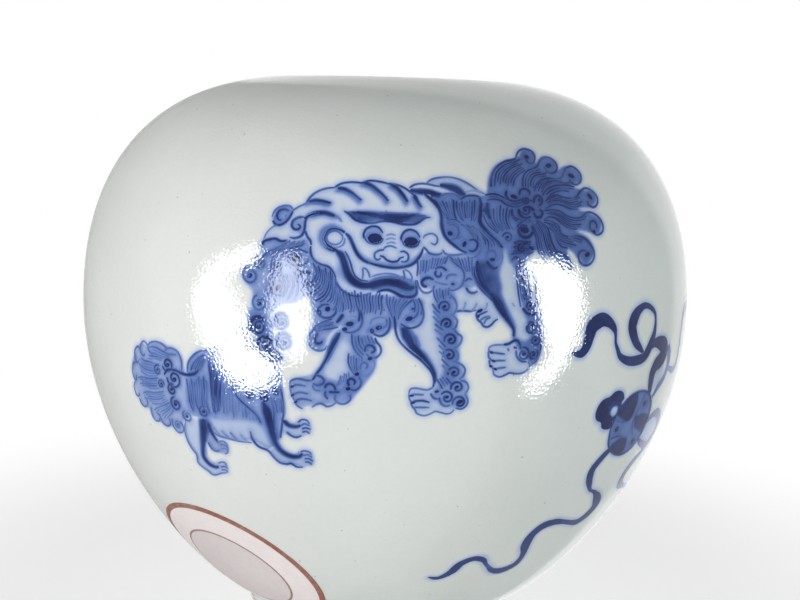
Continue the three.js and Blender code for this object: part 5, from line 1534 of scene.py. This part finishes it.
bpy.ops.object.select_all(action="DESELECT")
bpy.ops.mesh.primitive_circle_add(vertices=LABEL_SIDES, radius=LABEL_RADIUS * MM, fill_type="NOTHING")
label = bpy.context.object
label.name = "round_label"
edit(label)
bpy.ops.mesh.select_all(action="SELECT")
for ring in range(LABEL_RINGS - 1, 0, -1):
    bpy.ops.mesh.extrude_region_move()
    bpy.ops.transform.resize(value=(ring / (ring + 1), ring / (ring + 1), 1))
bpy.ops.mesh.edge_face_add()
bpy.ops.mesh.poke()
bpy.ops.mesh.select_all(action="SELECT")
bpy.ops.mesh.normals_make_consistent(inside=False)
bpy.ops.object.mode_set(mode="OBJECT")

flat = np.array([vertex.co[:2] for vertex in label.data.vertices]) / MM
sheet = label.data.uv_layers.new(name="OFBake")
corners = np.array([loop.vertex_index for loop in label.data.loops])
sheet.data.foreach_set("uv", (flat[corners] / LABEL_SHEET + 0.5).astype(np.float32).ravel())

# The flat disc is wrapped over a ball that touches the wall at the label's middle, and carried to the wall.
centre_radius, centre_height = (float(part) for part in wall_at(LABEL_LEVEL))
centre_out, centre_up = (float(part) for part in wall_facing(LABEL_LEVEL))
ball_radius = centre_radius / centre_out
ball_height = centre_height - ball_radius * centre_up
front = np.array([math.sin(LABEL_AZIMUTH), -math.cos(LABEL_AZIMUTH), 0])
across = np.array([math.cos(LABEL_AZIMUTH), math.sin(LABEL_AZIMUTH), 0])
top = np.array([0, 0, 1])
facing = centre_out * front + centre_up * top
upward = -centre_up * front + centre_out * top
reach = np.linalg.norm(flat, axis=1) / ball_radius
bearing = np.arctan2(flat[:, 1], flat[:, 0])
rays = (
    np.cos(reach)[:, None] * facing
    + (np.sin(reach) * np.cos(bearing))[:, None] * across
    + (np.sin(reach) * np.sin(bearing))[:, None] * upward
)
rise = np.arctan2(rays[:, 2], np.hypot(rays[:, 0], rays[:, 1]))
wall_rise = np.arctan2(wall_outline[:, 1] - ball_height, wall_outline[:, 0])
along = np.interp(rise, wall_rise, wall_along)
share = np.linalg.norm(flat, axis=1) / LABEL_RADIUS
waves = 0.5 + 0.5 * np.sin(3 * bearing + 1.1) * np.cos(2 * bearing)
raised = EDGE_LIFT * waves * np.clip((share - (1 - LIFT_WIDTH)) / LIFT_WIDTH, 0, 1) ** 2
lift = GUM_THICKNESS - PAINT_ROOM + raised
radius, height = wall_at(along, lift)
turned = np.arctan2(rays[:, 0], -rays[:, 1])
bent = np.stack([radius * np.sin(turned), -radius * np.cos(turned), height], -1) * MM
label.data.vertices.foreach_set("co", bent.astype(np.float32).ravel())
label.data.update()
bpy.ops.object.shade_smooth()
solid = label.modifiers.new("paper", "SOLIDIFY")
solid.thickness = PAPER_THICKNESS * MM
solid.offset = 1
bpy.ops.object.modifier_apply(modifier=solid.name)
bpy.ops.object.shade_smooth_by_angle(angle=SHARP_EDGE)

paper = bpy.data.materials.new("printed_label_paper")
paper.use_nodes = True
tree = paper.node_tree
shader = tree.nodes["Principled BSDF"]
place = add_node(tree, "ShaderNodeTexCoord", -1600, 300).outputs["Object"]
flat_place = add_node(tree, "ShaderNodeUVMap", -1600, 0, uv_map="OFBake").outputs[0]
from_middle = add_node(tree, "ShaderNodeVectorMath", -1400, 0, operation="DISTANCE")
tree.links.new(flat_place, from_middle.inputs[0])
from_middle.inputs[1].default_value = (0.5, 0.5, 0)
fray = noise(tree, -1400, 300, place, FRAY_SCALE, 3)
frayed = calculate(tree, -1200, 100, "MULTIPLY_ADD", fray, PRINT_FRAY / LABEL_SHEET,
                   from_middle.outputs["Value"])


def printed_band(inner, outer):
    """How much ink lies between two radii of the label, in mm."""
    inner_end, outer_start = inner + PRINT_SOFTNESS, outer - PRINT_SOFTNESS
    rise = spread(tree, -1000, 0, frayed, inner / LABEL_SHEET, inner_end / LABEL_SHEET)
    fall = spread(tree, -1000, 200, frayed, outer_start / LABEL_SHEET, outer / LABEL_SHEET, 1, 0)
    return calculate(tree, -800, 0, "MULTIPLY", rise, fall)


fibre = noise(tree, -1400, 600, place, FIBRE_SCALE, 6, Roughness=0.7)
disc = mix(tree, -600, 200, printed_band(-1, RING_RADIUS), LABEL_PAPER, LABEL_DISC)
ring = printed_band(RING_RADIUS - RING_WIDTH / 2, RING_RADIUS + RING_WIDTH / 2)
ringed = mix(tree, -400, 200, ring, disc, RING_INK)
worn = spread(tree, -800, 500, fibre, 0.3, 0.55, 0.8, 1)
outermost = printed_band(LABEL_RADIUS - BORDER_WIDTH, LABEL_RADIUS + 2)
border = calculate(tree, -600, 500, "MULTIPLY", outermost, worn)
bordered = mix(tree, -200, 200, border, ringed, BORDER_INK)
tone = spread(tree, -1200, 600, fibre, NOISE_LOW, NOISE_HIGH, 0.95, 1.03)
toned = mix(tree, 0, 300, 1, bordered, tone, blend_type="MULTIPLY")
crease = add_node(tree, "ShaderNodeBump", -200, -300, Strength=0.6, Distance=FIBRE_HEIGHT * MM, Height=fibre)
tree.links.new(toned, shader.inputs["Base Color"])
tree.links.new(crease.outputs[0], shader.inputs["Normal"])
shader.inputs["Roughness"].default_value = PAPER_ROUGHNESS
label.data.materials.append(paper)
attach(label, "root")
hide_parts("paper_label")
